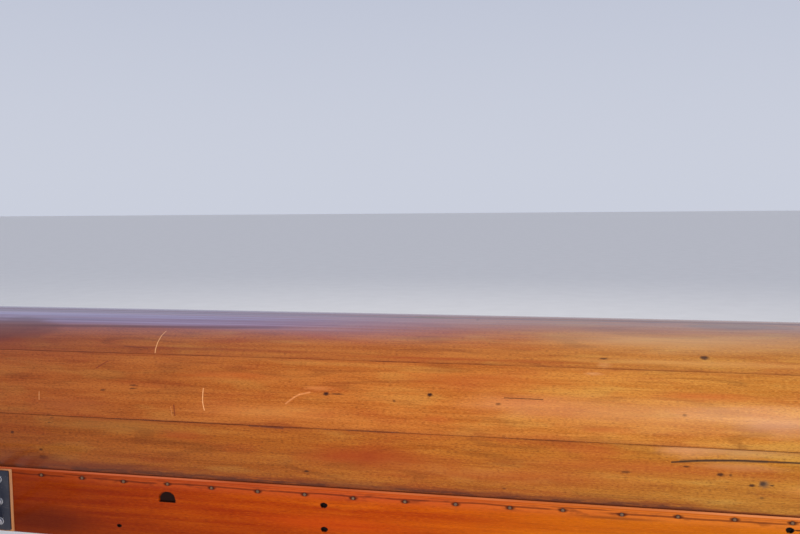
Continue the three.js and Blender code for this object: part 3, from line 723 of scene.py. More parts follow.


# milky bloom along the keel, partly painted reflection of the sky; the sheen band is a painted highlight and the ridge
# line a painted darker reflection
def keelBloomAndReflection(tone, place, along, girth):
    v = planking["film"]
    endStern, endMiddle, endBow = v["end"]
    streaks = cloud(place, (1.6, 150, 1), 4.0, 0.6, 6.0)
    milk = layered(v["milk"], (between(streaks, 0.40, 0.64), v["streak"]),
                   (between(along, 0.40, 0.95, 0.0, 0.85), v["dusty"]),
                   (between(girth, 0.030, 0.008, 0.0, 0.3), v["ridge"]))
    full = between(along, 0.15, 0.80, *v["full"])
    end = minus(plus(between(along, 0.15, 0.60, 0.0, endMiddle - endStern), endStern),
                between(along, 0.60, 1.15, 0.0, endMiddle - endBow))
    away = between(apart(along, v["middle"]), 0.95, 2.60, 1.0, 0.30)
    thick = times(between(along, 0.2, 0.7, *v["thick"]), away, between(streaks, 0.30, 0.70, 0.88, 1.06))
    under = times(between(girth, 0.108, 0.165, 0.24, 0.0), between(along, 0.9, 0.5), away)
    # painted highlight: a band of sky reflection along the keel
    sheen = times(between(apart(girth, v["sheenAt"]), 0.004, 0.020, 0.55, 0.0), between(along, 0.55, 0.20), away,
                  between(streaks, 0.3, 0.6))
    rim = times(between(apart(girth, scaled(along, -0.030, 0.1120)), 0.0015, 0.0085, 0.62, 0.0),
                between(along, 0.50, 0.25), between(along, -0.20, -0.06, 0.35, 1.0))
    # painted reflection: a darker line near the keel ridge
    ridge = between(apart(girth, scaled(along, -0.013, 0.0230)), 0.001, 0.007, 0.60, 0.0)
    return layered(tone, (under, v["milk"]), (between(girth, full, end, thick, 0.0), milk), (sheen, v["sheen"]),
                   (rim, v["rim"]), (ridge, v["ridge"]),
                   (between(girth, 0.0004, 0.0022, 0.8, 0.0), planking["seamLine"]))


def cedar(name, strake, side, seed):
    v = planking
    low, high = (share * hull["girth"] for share in v["strakes"][strake][:2])
    deep, middle, light = v["tones"][strake]
    newMaterial(name, Roughness=0.45, Coat_Roughness=0.13, Coat_IOR=1.27, Specular_IOR_Level=0.08)
    place = put("UVMap", uv_map="planks")[0]
    along, girth, _ = split(place)
    grain = use(woodGrain, Vector=place, Along=15.0, Across=430.0, Seed=seed)
    fibre = use(woodGrain, Vector=place, Along=170.0, Across=660.0 if strake == "side" else 860.0, Seed=seed + 9)
    hue = cloud(place, (7.0, 36.0, 1.0), 3.0, 0.5, seed + 2)
    dark = shade(deep, 0.40)
    lines = times(between(grain["Rings"], 0.70, 1.0), between(grain["Patch"], 0.46, 0.60), 0.30)
    tone = layered(
        deep, (between(grain["Broad"], 0.34, 0.66), light), (0.70, middle),
        (between(hue, 0.52, 0.66, 0.0, 0.30), v["redWood"]), (between(hue, 0.47, 0.34, 0.0, 0.36), v["tanWood"]),
        (between(grain["Fine"], 0.50, 0.66, 0.0, 0.27), dark), (between(grain["Fine"], 0.47, 0.34, 0.0, 0.24), light),
        (between(fibre["Fine"], 0.50, 0.66, 0.0, 0.55), dark), (between(fibre["Fine"], 0.47, 0.34, 0.0, 0.50), light),
        (lines, shade(deep, 0.55)))
    tone = bare = shadedAndLit(tone, along)
    if side < 0:
        tone = ownMarks(tone, place, low, high)
    for at, sign in ((low, 1), (high, -1)):
        if 0 < at < hull["girth"] * 0.99:
            tone = seamDark(tone, place, along, times(minus(girth, at), sign))
    if strake == "side":
        tone = edgeBandAndShadow(tone, place, along, minus(high, girth))
    if strake == "garboard":
        tone = keelBloomAndReflection(tone, place, along, girth)
        for row in v["smears"] if side < 0 else ():
            tone = marked(tone, place, *row, 0.5, 1.0)
    tone = mixed(put("Attribute", attribute_name="outside")["Fac"], bare, tone)
    gloss = times(between(grain["Broad"], 0.3, 0.7, 0.85, 1.0), between(girth, 0.006, 0.045, 0.50, 1.0))
    height = plus(times(grain["Fine"], 0.6), times(grain["Broad"], 0.8))
    return painted(tone, height, 0.10, 0.0006, Coat_Weight=gloss)


def markOutside(piece):  # 1 on the faces that look away from the boat's inside
    layer = piece.data.attributes.new("outside", "FLOAT", "FACE")
    for face in piece.data.polygons:
        away = face.center - Vector((face.center.x, 0, edge))
        layer.data[face.index].value = 0.0 if face.normal.dot(away.normalized()) < -0.3 else 1.0


def addPlanking():
    v, stern, whole = planking, hull["stern"], hull["bow"] - hull["stern"]
    gap = v["seam"] / hull["girth"]
    for hand, side in hands.items():
        for i, (name, (start, end, rows)) in enumerate(v["strakes"].items()):
            low, high = start + gap, end - (gap if end < 1 else 0)

            def place(u, t):
                return hullPoint(stern + whole * u, low + (high - low) * t, side)

            def flat(u, t):
                return stern + whole * u, (start + (end - start) * t) * hull["girth"]

            sheet = gridSheet(v["columns"], rows, place, flat)
            if side < 0:
                sheet.data.flip_normals()
            modify(sheet, "SOLIDIFY", thickness=skin, offset=-1.0, use_even_offset=True)
            soften(sheet, v["bevel"], 1, 60)
            markOutside(sheet)
            wood = cedar(f"cedar_{hand}_{name}", name, side, 3.0 * i + side)
            seat(sheet, f"{hand}_{name}_planking", "cedar", wood, 40,
                 f"{hand}_{name}_strake", "bow_end_planking", "stern_end_planking")
    print("planking is laid")


addPlanking()


# Side boards with their holes and nails

boards = {
    "height": 0.115, "proud": 0.005, "end": 3.75, "full": 3.33, "tipHeight": 0.026, "gap": 0.0003,
    "chamfer": 0.0034, "columns": 110, "nailGap": 0.0806, "nailStart": 0.0068, "nailZ": 0.9095,
    "nailRadius": 0.0021, "nailHigh": 0.0014, "nailSink": 0.0003, "nailSway": (0.0024, 0.0012), "rings": (1.5, 1.3),
    "nailShifts": [  # how far the nails from nailStart on lie off the even row, along and up, in mm
        (0, 1.6), (-2.1, 1.1), (-4.4, -0.1), (-3.8, 0.7), (-5.2, -1.0), (-4.8, -1.7), (-4.9, -1.4), (-4.5, -2.2),
        (-0.8, -2.2), (-1.3, -1.0), (1.9, -0.7), (0.7, 1.0), (6.3, 0.2), (5.4, 2.5), (3.2, 3.7), (0.4, 4.0)],
    "holes": [(0.5174, 0.8922, 0.0044), (0.5176, 0.8523, 0.0042), (1.2131, 0.9026, 0.0042), (0.1527, 0.8315, 0.0026)],
    "oval": (0.2428, 0.8862, 0.0152, 0.0104, 0.0070), "holeDeep": 0.003,
    "cracks": [(0.0035, 0.010, 0.0022, 0.66), (0.0074, 0.004, 0.0015, 0.74)],  # shift, wander, width, strength
}


def boardUnder(x):
    out = max(0.0, (abs(x) - boards["full"]) / (boards["end"] - boards["full"]))
    top = edge - boards["gap"]
    return top - boards["height"] + (boards["height"] - boards["tipHeight"]) * out ** 1.5


def boardOut(x):  # outer face of the side board
    return edgeY(x) + boards["proud"]


def boardVarnish(name, side):
    v, nailZ = boards, boards["nailZ"]
    newMaterial(name, Roughness=0.42, Coat_Roughness=0.10, Coat_IOR=1.22, Coat_Weight=0.5, Specular_IOR_Level=0.04)
    x, _, z = split(objectPlace())
    flat = put("CombineXYZ", {0: x, 1: z})[0]
    grain = use(woodGrain, Vector=flat, Along=12.0, Across=380.0, Seed=20.0 + side)
    fibre = use(woodGrain, Vector=flat, Along=110.0, Across=820.0, Seed=27.0 + side)
    hue = cloud(flat, (4.0, 22.0, 1.0), 4.0, 0.6, 31.0)
    tone = layered((158, 48, 0), (between(grain["Broad"], 0.30, 0.70), (188, 80, 0)),
                   (between(hue, 0.52, 0.68, 0.0, 0.35), (150, 42, 0)),
                   (between(hue, 0.46, 0.32, 0.0, 0.36), (212, 106, 16)))
    for layer, share in ((grain["Fine"], 0.18), (fibre["Fine"], 0.40)):
        tone = layered(tone, (between(layer, 0.50, 0.67, 0.0, share), (96, 26, 0)),
                       (between(layer, 0.46, 0.33, 0.0, share * 0.8), (212, 112, 18)))
    # painted shade darkens the lower part of the board and the stern end, painted light brightens the bow end
    tone = layered(tone, (between(z, 0.885, 0.800, 0.0, 0.36), (110, 32, 0)),
                   (between(z, 0.896, 0.912, 0.0, 0.36), (218, 100, 52)),
                   (between(x, 0.30, -0.05, 0.0, 0.30), (96, 30, 0)),
                   (between(x, 0.55, 1.0, 0.0, 0.22), (206, 122, 20)))

    # port marks: stains, and painted shade in the holes
    def withStainsAndShade(tone, *rows):
        for row in rows if side < 0 else ():
            tone = marked(tone, flat, *row)
        return tone

    nails = [((v["nailStart"] + n * v["nailGap"]) * 1000 + dx, nailZ * 1000 + dz, 10, 4.4, (62, 22, 8), 0.90, 0.6)
             for n, (dx, dz) in enumerate(v["nailShifts"])]
    tone = withStainsAndShade(tone, (10, 832, 130, 36, (88, 26, 4), 0.55, 0.8), (520, 862, 170, 18, (206, 74, 10), 0.35, 0.8),
                   (970, 903.5, 95, 3.4, (104, 42, 12), 0.60, 0.8), *nails)
    tone = shadedAndLit(tone, x)
    wander = cloud(flat, (6, 1, 1))
    patchy = between(cloud(flat, (8, 1, 1), 3.0, 0.6, 3.0), 0.38, 0.50)
    for shift, height, width, strength in v["cracks"]:
        off = apart(z, scaled(wander, height, nailZ - height / 2 - 0.002 + shift))
        tone = mixed(times(between(off, width * 0.3, width, strength, 0.0), patchy), tone, (74, 20, 8))
        patchy = minus(1.0, times(patchy, 0.7))
    # painted shade in a thin dark line at the chamfer's corner, and a painted highlight in the paler broken line on the
    # chamfer, lighter toward the bow
    corner = edge - v["chamfer"]
    ledge = times(between(z, edge - 0.0028, edge - 0.0016),
                  between(cloud(flat, (3, 1, 1), 3.0, 0.5, 12.0), 0.35, 0.65, 0.20, 0.80))
    darkSmudge = times(between(cloud(flat, (26, 90, 1), 3.0, 0.6, 17.0), 0.52, 0.66, 0.0, 0.45),
                 between(apart(z, nailZ), 0.002, 0.007, 1.0, 0.0))
    tone = layered(tone, (times(between(z, corner - 0.0004, corner + 0.0004), 0.30), (120, 44, 8)),
                   (ledge, mixed(between(x, 0.0, 1.2), (200, 104, 68), (216, 140, 90))), (darkSmudge, (78, 30, 14)))
    # painted shade: the insides of the holes and of the oval hole are painted near black
    for hx, hz, radius in v["holes"]:
        tone = withStainsAndShade(tone, (hx * 1000, hz * 1000, radius * 1000 + 2.6, radius * 1000 + 0.8, (16, 5, 3), 1.0, 0.25))
    hx, hz, halfLong, up, down = (a * 1000 for a in v["oval"])
    if side < 0:
        dark = withStainsAndShade(tone, (hx, hz - down, halfLong + 1.2, up + down + 1.2, (30, 9, 4), 1.0, 0.15))
        foot = (hz - down) / 1000
        tone = mixed(between(z, foot - 0.0012, foot - 0.0004), tone, dark)
    tone = withStainsAndShade(tone, (1228, 903, 12, 1.4, (24, 8, 4), 0.9, 0.4))
    return painted(tone, plus(grain["Fine"], grain["Broad"]), 0.10, 0.0007)


def boardLine(x):
    top, under, out, inn = edge - boards["gap"], boardUnder(x), boardOut(x), edgeY(x) - skin
    return [(edgeY(x) + 0.0002, top), (out, edge - boards["chamfer"]), (out, (top + under) / 2), (out, under + 0.0016),
            (out - 0.0016, under), (inn + 0.0016, under), (inn, under + 0.0016), (inn, top)]


def metal(name, base, worn, roughness, amount, scale, metallic=1.0, coat=0.0):
    newMaterial(name, Metallic=metallic, Coat_Weight=coat, Coat_Roughness=0.2)
    out = use(wear, Vector=objectPlace(), Scale=scale, Amount=amount)
    tone = layered(base, (out["Dust"], shade(base, 0.5, 0.08)), (out["Scuffs"], worn), (out["Chips"], worn))
    return painted(tone, out["Dust"], 0.12, 0.0004, Roughness=scaled(out["Dust"], 0.35, roughness))


dullBronze = metal("dullBronze", (122, 90, 62), (186, 154, 116), 0.45, 0.5, 3.0, 0.4)
tarnish = metal("tarnish", (48, 22, 12), (84, 46, 26), 0.6, 0.4, 3.0, 0.0)


def addBoards():
    v = boards
    ringFoot, ringTop = (v["nailRadius"] * share for share in v["rings"])
    nail = rod(origin, (0, 0, v["nailHigh"]), v["nailRadius"], 12, 0.0004)
    ring = rod(origin, (0, 0, v["nailHigh"] / 2), ringFoot, 18, 0, ringTop)
    for hand, side in hands.items():
        board = swept(spread(-v["end"], v["end"], v["columns"]), boardLine, side)

        def drill(x, z, radius, sides=20):
            y = side * boardOut(x)
            return rod((x, y - 0.02, z), (x, y + v["holeDeep"], z), radius, sides)

        if side < 0:
            cutters = [drill(*hole) for hole in v["holes"]]
            x, z, halfLong, up, down = v["oval"]
            cutters.append(drill(x, z, halfLong, 40))
            for vertex in cutters[-1].data.vertices:
                crown = max(0.0, 1 - (abs(vertex.co.x - x) / halfLong) ** 3) ** (1 / 3) if vertex.co.z > z else 0.0
                vertex.co.z = z - down + crown * (up + down)
            carve(board, cutters)
        seat(board, f"{hand}_side_board", "varnished_board", boardVarnish(f"varnish_{hand}_board", side), 25,
             f"{hand}_sax_board")
        spots = []
        steps = int((v["full"] - 0.05) / v["nailGap"])
        for n in range(-steps, steps + 1):
            dx, dz = (dice.gauss(0, sway) for sway in v["nailSway"])
            if 0 <= n < len(v["nailShifts"]):
                dx, dz = (a / 1000 for a in v["nailShifts"][n])
            x = v["nailStart"] + n * v["nailGap"] + dx
            spots.append(((x, side * (boardOut(x) - v["nailSink"]), v["nailZ"] + dz), (0, side, 0)))
        seat(joined(placed(nail, spots)), f"{hand}_board_nails", "bronze", dullBronze, 50)
        seat(joined(placed(ring, spots)), f"{hand}_nail_rings", "bronze", tarnish, 50)
    discard(nail, ring)
    print("side boards are on")


addBoards()


# Finishes of the other pieces

def timber(name, deep, light, across, roughness, coat, weather, seed):
    newMaterial(name, Coat_Weight=coat, Coat_Roughness=0.12, Coat_IOR=1.32, Specular_IOR_Level=0.2)
    place = put("Attribute", attribute_name="grain")["Vector"]
    grain = use(woodGrain, Vector=place, Along=6.0, Across=across, Seed=seed)
    used = use(wear, Vector=objectPlace(), Scale=1.0, Amount=weather)
    grey = [sum(shown(light)[:3]) / 3 * 0.8] * 3 + [1]
    tone = layered(deep, (between(grain["Broad"], 0.28, 0.72), light),
                   (times(between(grain["Fine"], 0.52, 0.76), 0.35), shade(deep, 0.45)),
                   (times(between(grain["Rings"], 0.75, 1.0), 0.30), shade(deep, 0.7)), (used["Dust"], grey),
                   (times(used["Scuffs"], 0.6), shade(deep, 0.4)), (used["Chips"], shade(deep, 0.35)))
    rough = scaled(used["Dust"], 0.3, scaled(grain["Fine"], 0.12, roughness - 0.05))
    return painted(tone, plus(grain["Fine"], times(grain["Rings"], 0.4)), 0.25, 0.0005, Roughness=rough)


def cloth(name, base, thread, scale, roughness, coat, weave):
    newMaterial(name, Coat_Weight=coat, Coat_Roughness=0.25, Specular_IOR_Level=0.25)
    place = put("UVMap", uv_map="cloth")[0]
    warp, weft = (maths("SINE", times(way, scale)) for way in split(place)[:2])
    cross, blotch = times(warp, weft), cloud(place, 9.0, 5.0, 0.6, 3.0)
    used = use(wear, Vector=objectPlace(), Scale=1.4, Amount=0.35)
    tone = layered(base, (between(cross, -0.6, 0.8), thread), (between(blotch, 0.4, 0.72, 0.0, 0.45), shade(base, 0.6)),
                   (times(used["Dust"], 0.6), shade(thread, 0.5, 0.10)))
    return painted(tone, scaled(blotch, 0.6, cross), weave, 0.0004,
                   Roughness=between(blotch, 0.3, 0.7, roughness - 0.08, roughness))


def plain(name, base, roughness, mark, coat=0.0):  # rubber, plastic or leather with small wear
    newMaterial(name, Coat_Weight=coat, Coat_Roughness=0.2)
    place = objectPlace()
    used = use(wear, Vector=place, Scale=1.0, Amount=0.4)
    tone = layered(base, (used["Dust"], shade(base, mark)), (times(used["Scuffs"], 0.7), shade(base, mark * 0.7)))
    return painted(tone, cloud(place, 420.0), 0.18, 0.0004, Roughness=scaled(used["Dust"], 0.25, roughness))


frameWood = timber("frameWood", (150, 92, 38), (206, 150, 84), 190.0, 0.4, 0.5, 0.12, 1.0)
panelWood = timber("panelWood", (144, 62, 6), (200, 110, 26), 160.0, 0.35, 0.7, 0.08, 2.0)
rudderWood = timber("rudderWood", (168, 118, 40), (214, 172, 88), 150.0, 0.4, 0.5, 0.25, 3.0)
trestleWood = timber("trestleWood", (132, 74, 26), (192, 124, 58), 120.0, 0.62, 0.0, 0.45, 4.0)
padWood = timber("padWood", (150, 88, 46), (204, 142, 92), 300.0, 0.5, 0.3, 0.2, 6.0)
darkSteel = metal("darkSteel", (26, 30, 48), (96, 92, 96), 0.34, 0.30, 2.5, 0.25, 0.35)
brightSteel = metal("brightSteel", (176, 176, 182), (120, 108, 98), 0.24, 0.25, 4.0)
castBronze = metal("castBronze", (152, 132, 86), (206, 186, 134), 0.36, 0.40, 3.0)
alloy = metal("alloy", (172, 175, 180), (118, 118, 122), 0.34, 0.30, 3.0)
deckCloth = cloth("deckCloth", (196, 150, 88), (216, 174, 112), 3000.0, 0.45, 0.7, 0.25)
slingCloth = cloth("slingCloth", (38, 38, 42), (62, 62, 68), 2100.0, 0.92, 0.0, 0.8)
whiteRubber = plain("whiteRubber", (226, 222, 210), 0.6, 0.75)
blackPlastic = plain("blackPlastic", (34, 34, 36), 0.45, 1.8, 0.2)
leather = plain("leather", (104, 60, 34), 0.6, 0.6)
print("finishes are mixed")


# Trestles: two crossed timber frames on a rod, and a cloth sling from rail to rail

trestles = {
    "names": [("stern_trestle", -3.1), ("bow_trestle", 3.1)], "railY": 0.330, "railZ": 0.857, "footY": 0.350,
    "leg": (0.050, 0.022), "outer": (0.250, 0.261), "inner": (0.227, 0.238), "rail": 0.034,
    "lowRail": (0.028, 0.036), "lowRailZ": 0.090, "pivotRadius": 0.008, "pivotEnd": 0.2645, "nutAt": 0.2618,
    "spacer": (0.2388, 0.2384, 0.015), "screwsAt": (0.112, 1.072), "screwGap": 0.008,
    "nut": (0.0095, 0.0052, 0.0014), "screw": (0.0042, 0.0022), "slingWide": 0.300, "slingThick": 0.0022,
    "slingTop": 0.8041, "wrinkle": 0.0016, "sag": 0.004, "free": (0.275, 0.036),  # middle and half of the free stretch
}


def trestleFrame(at, legX, railHalf, side):
    v = trestles
    foot, head = Vector((0, -side * v["footY"], 0)), Vector((0, side * v["railY"], v["railZ"]))
    cuts = [((0, 0, 0), (0, 0, -1)), ((0, 0, v["railZ"] - 0.002), upward),
            ((0, side * (v["railY"] + v["rail"] / 2 - 0.0008), 0), (0, side, 0))]
    parts = []
    for end in both:
        shift = Vector((at + end * legX, 0, 0))
        parts.append(stick(foot + shift, head + shift, *v["leg"], (1, 0, 0), cuts, 0.0022, 0.06))
    y, z, reach = side * v["railY"], v["railZ"] - v["rail"] / 2, railHalf - 0.0008
    parts.append(stick((at - reach, y, z), (at + reach, y, z), v["rail"], v["rail"], width=0.0045))
    z = v["lowRailZ"]
    y = side * (-v["footY"] + z * (v["railY"] + v["footY"]) / v["railZ"])
    parts.append(stick((at - legX, y, z), (at + legX, y, z), *v["lowRail"]))
    return joined(parts)


def addTrestles():
    v = trestles
    pivotZ = v["railZ"] * v["footY"] / (v["railY"] + v["footY"])
    nut, screw = hexNut(*v["nut"]), domeBolt(*v["screw"])
    slope = Vector((0, v["railY"] + v["footY"], v["railZ"])).normalized()
    near, far, spacerRadius = v["spacer"]
    for name, at in v["names"]:
        spots = []
        for label, side in (("outer", 1), ("inner", -1)):
            legX, railHalf = v[label]
            seat(trestleFrame(at, legX, railHalf, side), f"{name}_{label}_timbers", "trestle_timber", trestleWood, 40,
                 f"{name}_{label}_frame")
            run = Vector((0, side * slope.y, slope.z))
            for end in both:
                foot = Vector((at + end * (legX + v["leg"][1] / 2), -side * v["footY"], 0))
                spots += [(foot + run * (along + off * v["screwGap"]), (end, 0, 0))
                          for along in v["screwsAt"] for off in both]

        def pivot(start, end, *size):
            return rod((at + start, 0, pivotZ), (at + end, 0, pivotZ), *size)

        parts = [pivot(-v["pivotEnd"], v["pivotEnd"], v["pivotRadius"], 24, 0.0012)]
        parts += placed(nut, [((at + end * v["nutAt"], 0, pivotZ), (end, 0, 0)) for end in both])
        parts += [pivot(end * near, end * far, spacerRadius, 24) for end in both]
        seat(joined(parts), f"{name}_pivot_rod", "dark_steel", brightSteel, 40, f"{name}_pivot")
        seat(joined(placed(screw, spots)), f"{name}_screws", "dark_steel", brightSteel, 50)
    discard(nut, screw)
    print("trestles stand")


def slingLine():  # where the cloth runs, from the outside of one rail to the outside of the other
    v = trestles
    half, lift, corner = v["rail"] / 2, 0.0004, 0.0045
    out, inn, top = v["railY"] + half + lift, v["railY"] - half, v["railZ"] + lift
    side = [(out, top - 0.030), (out, top - corner), (out - corner * 0.3, top - corner * 0.3), (out - corner, top),
            (inn + corner, top), (inn - lift + corner * 0.2, top - corner * 0.35), (0.2375, v["slingTop"] + 0.0016),
            (0.2300, v["slingTop"])]
    return [(-y, z) for y, z in side] + side[::-1]


def addSlings():
    v = trestles
    line = slingLine()
    lengths = lengthsOf(line)
    freeAt, freeHalf = v["free"]
    for name, at in v["names"]:
        phase = dice.uniform(0, 6)

        def place(u, w):
            (y0, z0), (y1, z1), _, t = spanAt(line, lengths, w)
            x, y, z = at + (u - 0.5) * v["slingWide"], y0 + (y1 - y0) * t, z0 + (z1 - z0) * t
            free = max(0.0, 1 - abs(abs(y) - freeAt) / freeHalf)  # between boat and rail
            middle = max(0.0, 1 - (abs(y) / 0.2) ** 2)
            hem = min(1.0, min(u, 1 - u) / 0.06)
            z += v["wrinkle"] * free * math.sin(26 * u + phase + 3 * math.sin(7 * w)) * (0.4 + 0.6 * u)
            z -= middle * v["sag"] * (1 + 0.3 * math.sin(17 * u + phase))
            z -= 0.0004 * (1 - hem)
            x += 0.0025 * (2 * u - 1) * math.cos(14 * w + phase) * (1 - middle * 0.5)
            return Vector((x, y, z))

        sheet = gridSheet(48, 120, place, lambda u, w: (u * v["slingWide"], w * lengths[-1]), "cloth")
        modify(sheet, "SOLIDIFY", thickness=v["slingThick"], offset=1.0)
        seat(sheet, f"{name}_sling_cloth", "sling_cloth", slingCloth, 60, f"{name}_sling")
    print("slings are hung")


addTrestles()
addSlings()


# Riggers: foot plates bolted through the side boards, welded tubes, sill and pin

rigging = {
    "seats": [(1, 2.400, -1), (2, 1.030, 1), (3, -0.340, -1), (4, -1.710, 1)], "spread": 0.840, "reach": 0.260,
    "plateX": (-0.0185, 0.0246), "plateZ": (0.809, 0.916), "plateOut": 0.005,
    "padX": (-0.0250, 0.0291), "padZ": (0.806, 0.9182), "pad": 0.0016,
    "boltsZ": (0.9007, 0.8610, 0.8255), "boltX": 0.006,
    "stays": [  # foot height, radius, how far short of the pin and over the sill the tip lies
        (0.892, 0.009, 0.014, 0.008), (0.828, 0.007, 0.020, 0.004)],
    "stayX": 0.007, "backstay": (0.008, 0.816, 0.6355, 0.005),
    "stayShape": [(0, 1.30, 1.30), (0.0016, 1.34, 1.34), (0.0042, 1.04, 1.04), (0.006, 1, 1), (-0.060, 1, 1),
                  (-0.030, 1.18, 0.72), (-0.006, 1.25, 0.55), (9, 1.2, 0.48)],
    "backstayShape": [(0, 1.4, 1.4), (0.004, 1, 1), (-0.040, 1, 1), (-0.024, 1.5, 0.5), (-0.008, 1.7, 0.42),
                      (9, 1.5, 0.4)],
    "sill": 0.730, "sillThick": 0.012, "sillX": 0.030, "sillY": (0.812, 0.868), "pin": 0.0065, "pinZ": (0.628, 0.740),
    "washersZ": (0.6388, 0.6500, 0.7203), "collar": 0.010, "collarsZ": ((0.7220, 0.730), (0.6404, 0.6500)),
    "lowNutZ": 0.6372, "lockTop": 0.720, "lockBottom": 0.652,
    "bolt": (0.0046, 0.0040), "nut": (0.0105, 0.0085, 0.0008), "smallNut": (0.0052, 0.0052, 0.0014),
    "washer": (0.0125, 0.0016),
}


def addRiggers():
    v = rigging
    bolt, nut, smallNut = domeBolt(*v["bolt"]), hexNut(*v["nut"]), hexNut(*v["smallNut"])
    washer = rod(origin, (0, 0, v["washer"][1]), v["washer"][0], 28, 0.0005)
    for number, pinX, side in v["seats"]:
        def at(x, y, z):
            return Vector((x, side * y, z))

        def pin(z):
            return at(pinX, v["spread"], z)

        steel, pads, boltSpots, nutSpots = [], [], [], []
        for end in both:
            footX = pinX + end * v["reach"]
            boltX, stayX = footX + v["boltX"], footX - end * v["stayX"]
            face = max(boardOut(footX - 0.02), boardOut(footX + 0.02)) + 0.0003
            outer, out = face + v["plateOut"], face + v["plateOut"] - 0.0004
            for xs, zs, low, high, corner, bevel, made in (
                    ("plateX", "plateZ", face + v["pad"], outer, 0.003, 0.0007, steel),
                    ("padX", "padZ", face, face + v["pad"], 0.002, 0.0004, pads)):
                outline = card(footX + v[xs][0], v[zs][0], footX + v[xs][1], v[zs][1], corner)
                made.append(plate(outline, side * low, side * high, "Y", bevel))
            alongGrain(pads[-1], upward)
            for z, radius, short, over in v["stays"]:
                tip = at(pinX + end * short, v["spread"] - short, v["sill"] + over)
                steel.append(tube(at(stayX, out, z), tip, radius, v["stayShape"], 24))
            if end > 0:
                back, footZ, tipZ, radius = v["backstay"]
                steel.append(tube(at(footX - back, out, footZ), pin(tipZ), radius, v["backstayShape"], 18))
            for z in v["boltsZ"]:
                boltSpots.append((at(boltX, outer, z), (0, side, 0)))
                nutSpots.append((at(boltX, edgeY(boltX) - skin - 0.0003, z), (0, -side, 0)))
        low, high = sorted(side * y for y in v["sillY"])
        top = v["sill"] + v["sillThick"]
        sill = card(pinX - v["sillX"], low, pinX + v["sillX"], high, 0.014)
        steel.append(plate(sill, v["sill"], top, "Z", 0.0022, 3))
        bolts = [rod(*map(pin, v["pinZ"]), v["pin"], 24, 0.0010)]
        bolts += placed(washer, [(pin(z), upward) for z in v["washersZ"]])
        bolts += [rod(*map(pin, ends), v["collar"], 28, 0.0006) for ends in v["collarsZ"]]
        bolts += placed(nut, [(pin(top), upward), (pin(v["lowNutZ"]), (0, 0, -1))])
        bolts += placed(bolt, boltSpots) + placed(smallNut, nutSpots)
        node = f"rigger_{number}"
        seat(joined(steel), f"{node}_tubes", "dark_steel", darkSteel, 35, node)
        seat(joined(bolts), f"{node}_bolts", "alloy", brightSteel, 45, node)
        seat(joined(pads), f"{node}_pads", "frame_wood", padWood, 40, node)
    discard(bolt, nut, smallNut, washer)
    print("riggers are bolted on")


# Oarlocks: a cast frame on a sleeve, and a bar with a round nut that closes it

oarlocks = {"far": (-0.080, -0.070), "near": (-0.020, -0.008), "half": 0.017, "bar": 0.0055, "bore": 0.0072,
            "sleeve": 0.014, "nutX": -0.075, "hingeX": -0.0195, "voxel": 0.0011}


def addOarlocks():
    v = oarlocks
    low, high, nutX, hingeX = rigging["lockBottom"], rigging["lockTop"], v["nutX"], v["hingeX"]
    body = block((v["far"][0], -v["half"], low + 0.0082), (v["near"][1] + 0.002, v["half"], high), 0)
    carve(body, [block((v["far"][1], -0.05, low - 0.02), (v["near"][0], 0.05, high - 0.008), 0)])
    for vertex in body.data.vertices:  # the far arm narrows toward the bar
        if vertex.co.x < v["far"][1] + 0.001 and vertex.co.z < low + 0.02:
            vertex.co.y *= 0.62
    soften(body, 0.0034, 4)
    sleeve = rod((0, 0, low), (0, 0, high), v["sleeve"], 36, 0.0016)
    rims = [rod((0, 0, z), (0, 0, z + 0.004), v["sleeve"] + 0.0016, 36, 0.0010) for z in (low + 0.0005, high - 0.0045)]
    lug = block((-0.024, -0.0075, low + 0.0005), (-0.006, 0.0075, low + 0.014), 0.0025, 3)
    cast = joined([body, sleeve, *rims, lug])
    modify(cast, "REMESH", mode="VOXEL", voxel_size=v["voxel"])
    modify(cast, "SMOOTH", factor=0.5, iterations=5)
    carve(cast, [rod((0, 0, low - 0.01), (0, 0, high + 0.01), v["bore"], 32)])
    bar = block((v["far"][0] + 0.001, -v["bar"], low), (v["near"][0] + 0.004, v["bar"], low + 0.0078), 0.0026, 4)
    grip = rod((nutX, 0, low - 0.0100), (nutX, 0, low), 0.0082, 28)
    pickFaces(grip, lambda face: abs(face.normal.z) < 0.5)
    bpy.ops.mesh.inset(thickness=0.00045, depth=0.0007, use_individual=True)
    endEdit()
    stud = rod((nutX, 0, low - 0.0112), (nutX, 0, low + 0.012), 0.0032, 16, 0.0006)
    hinge = rod((hingeX, -0.0095, low + 0.0042), (hingeX, 0.0095, low + 0.0042), 0.0028, 16, 0.0008)
    fittings = joined([bar, grip, stud, hinge])
    for number, pinX, side in rigging["seats"]:
        node, move = f"oarlock_{number}", Matrix.Translation((pinX, side * rigging["spread"], 0))
        seat(copyOf(cast, move), f"{node}_casting", "bronze", castBronze, 50, node, body=node)
        seat(copyOf(fittings, move), f"{node}_gate_bar", "bronze", castBronze, 40, node, body=node)
    discard(cast, fittings)
    print("oarlocks hang on their pins")


addRiggers()
addOarlocks()


# Decks, bulkheads and the splashboard

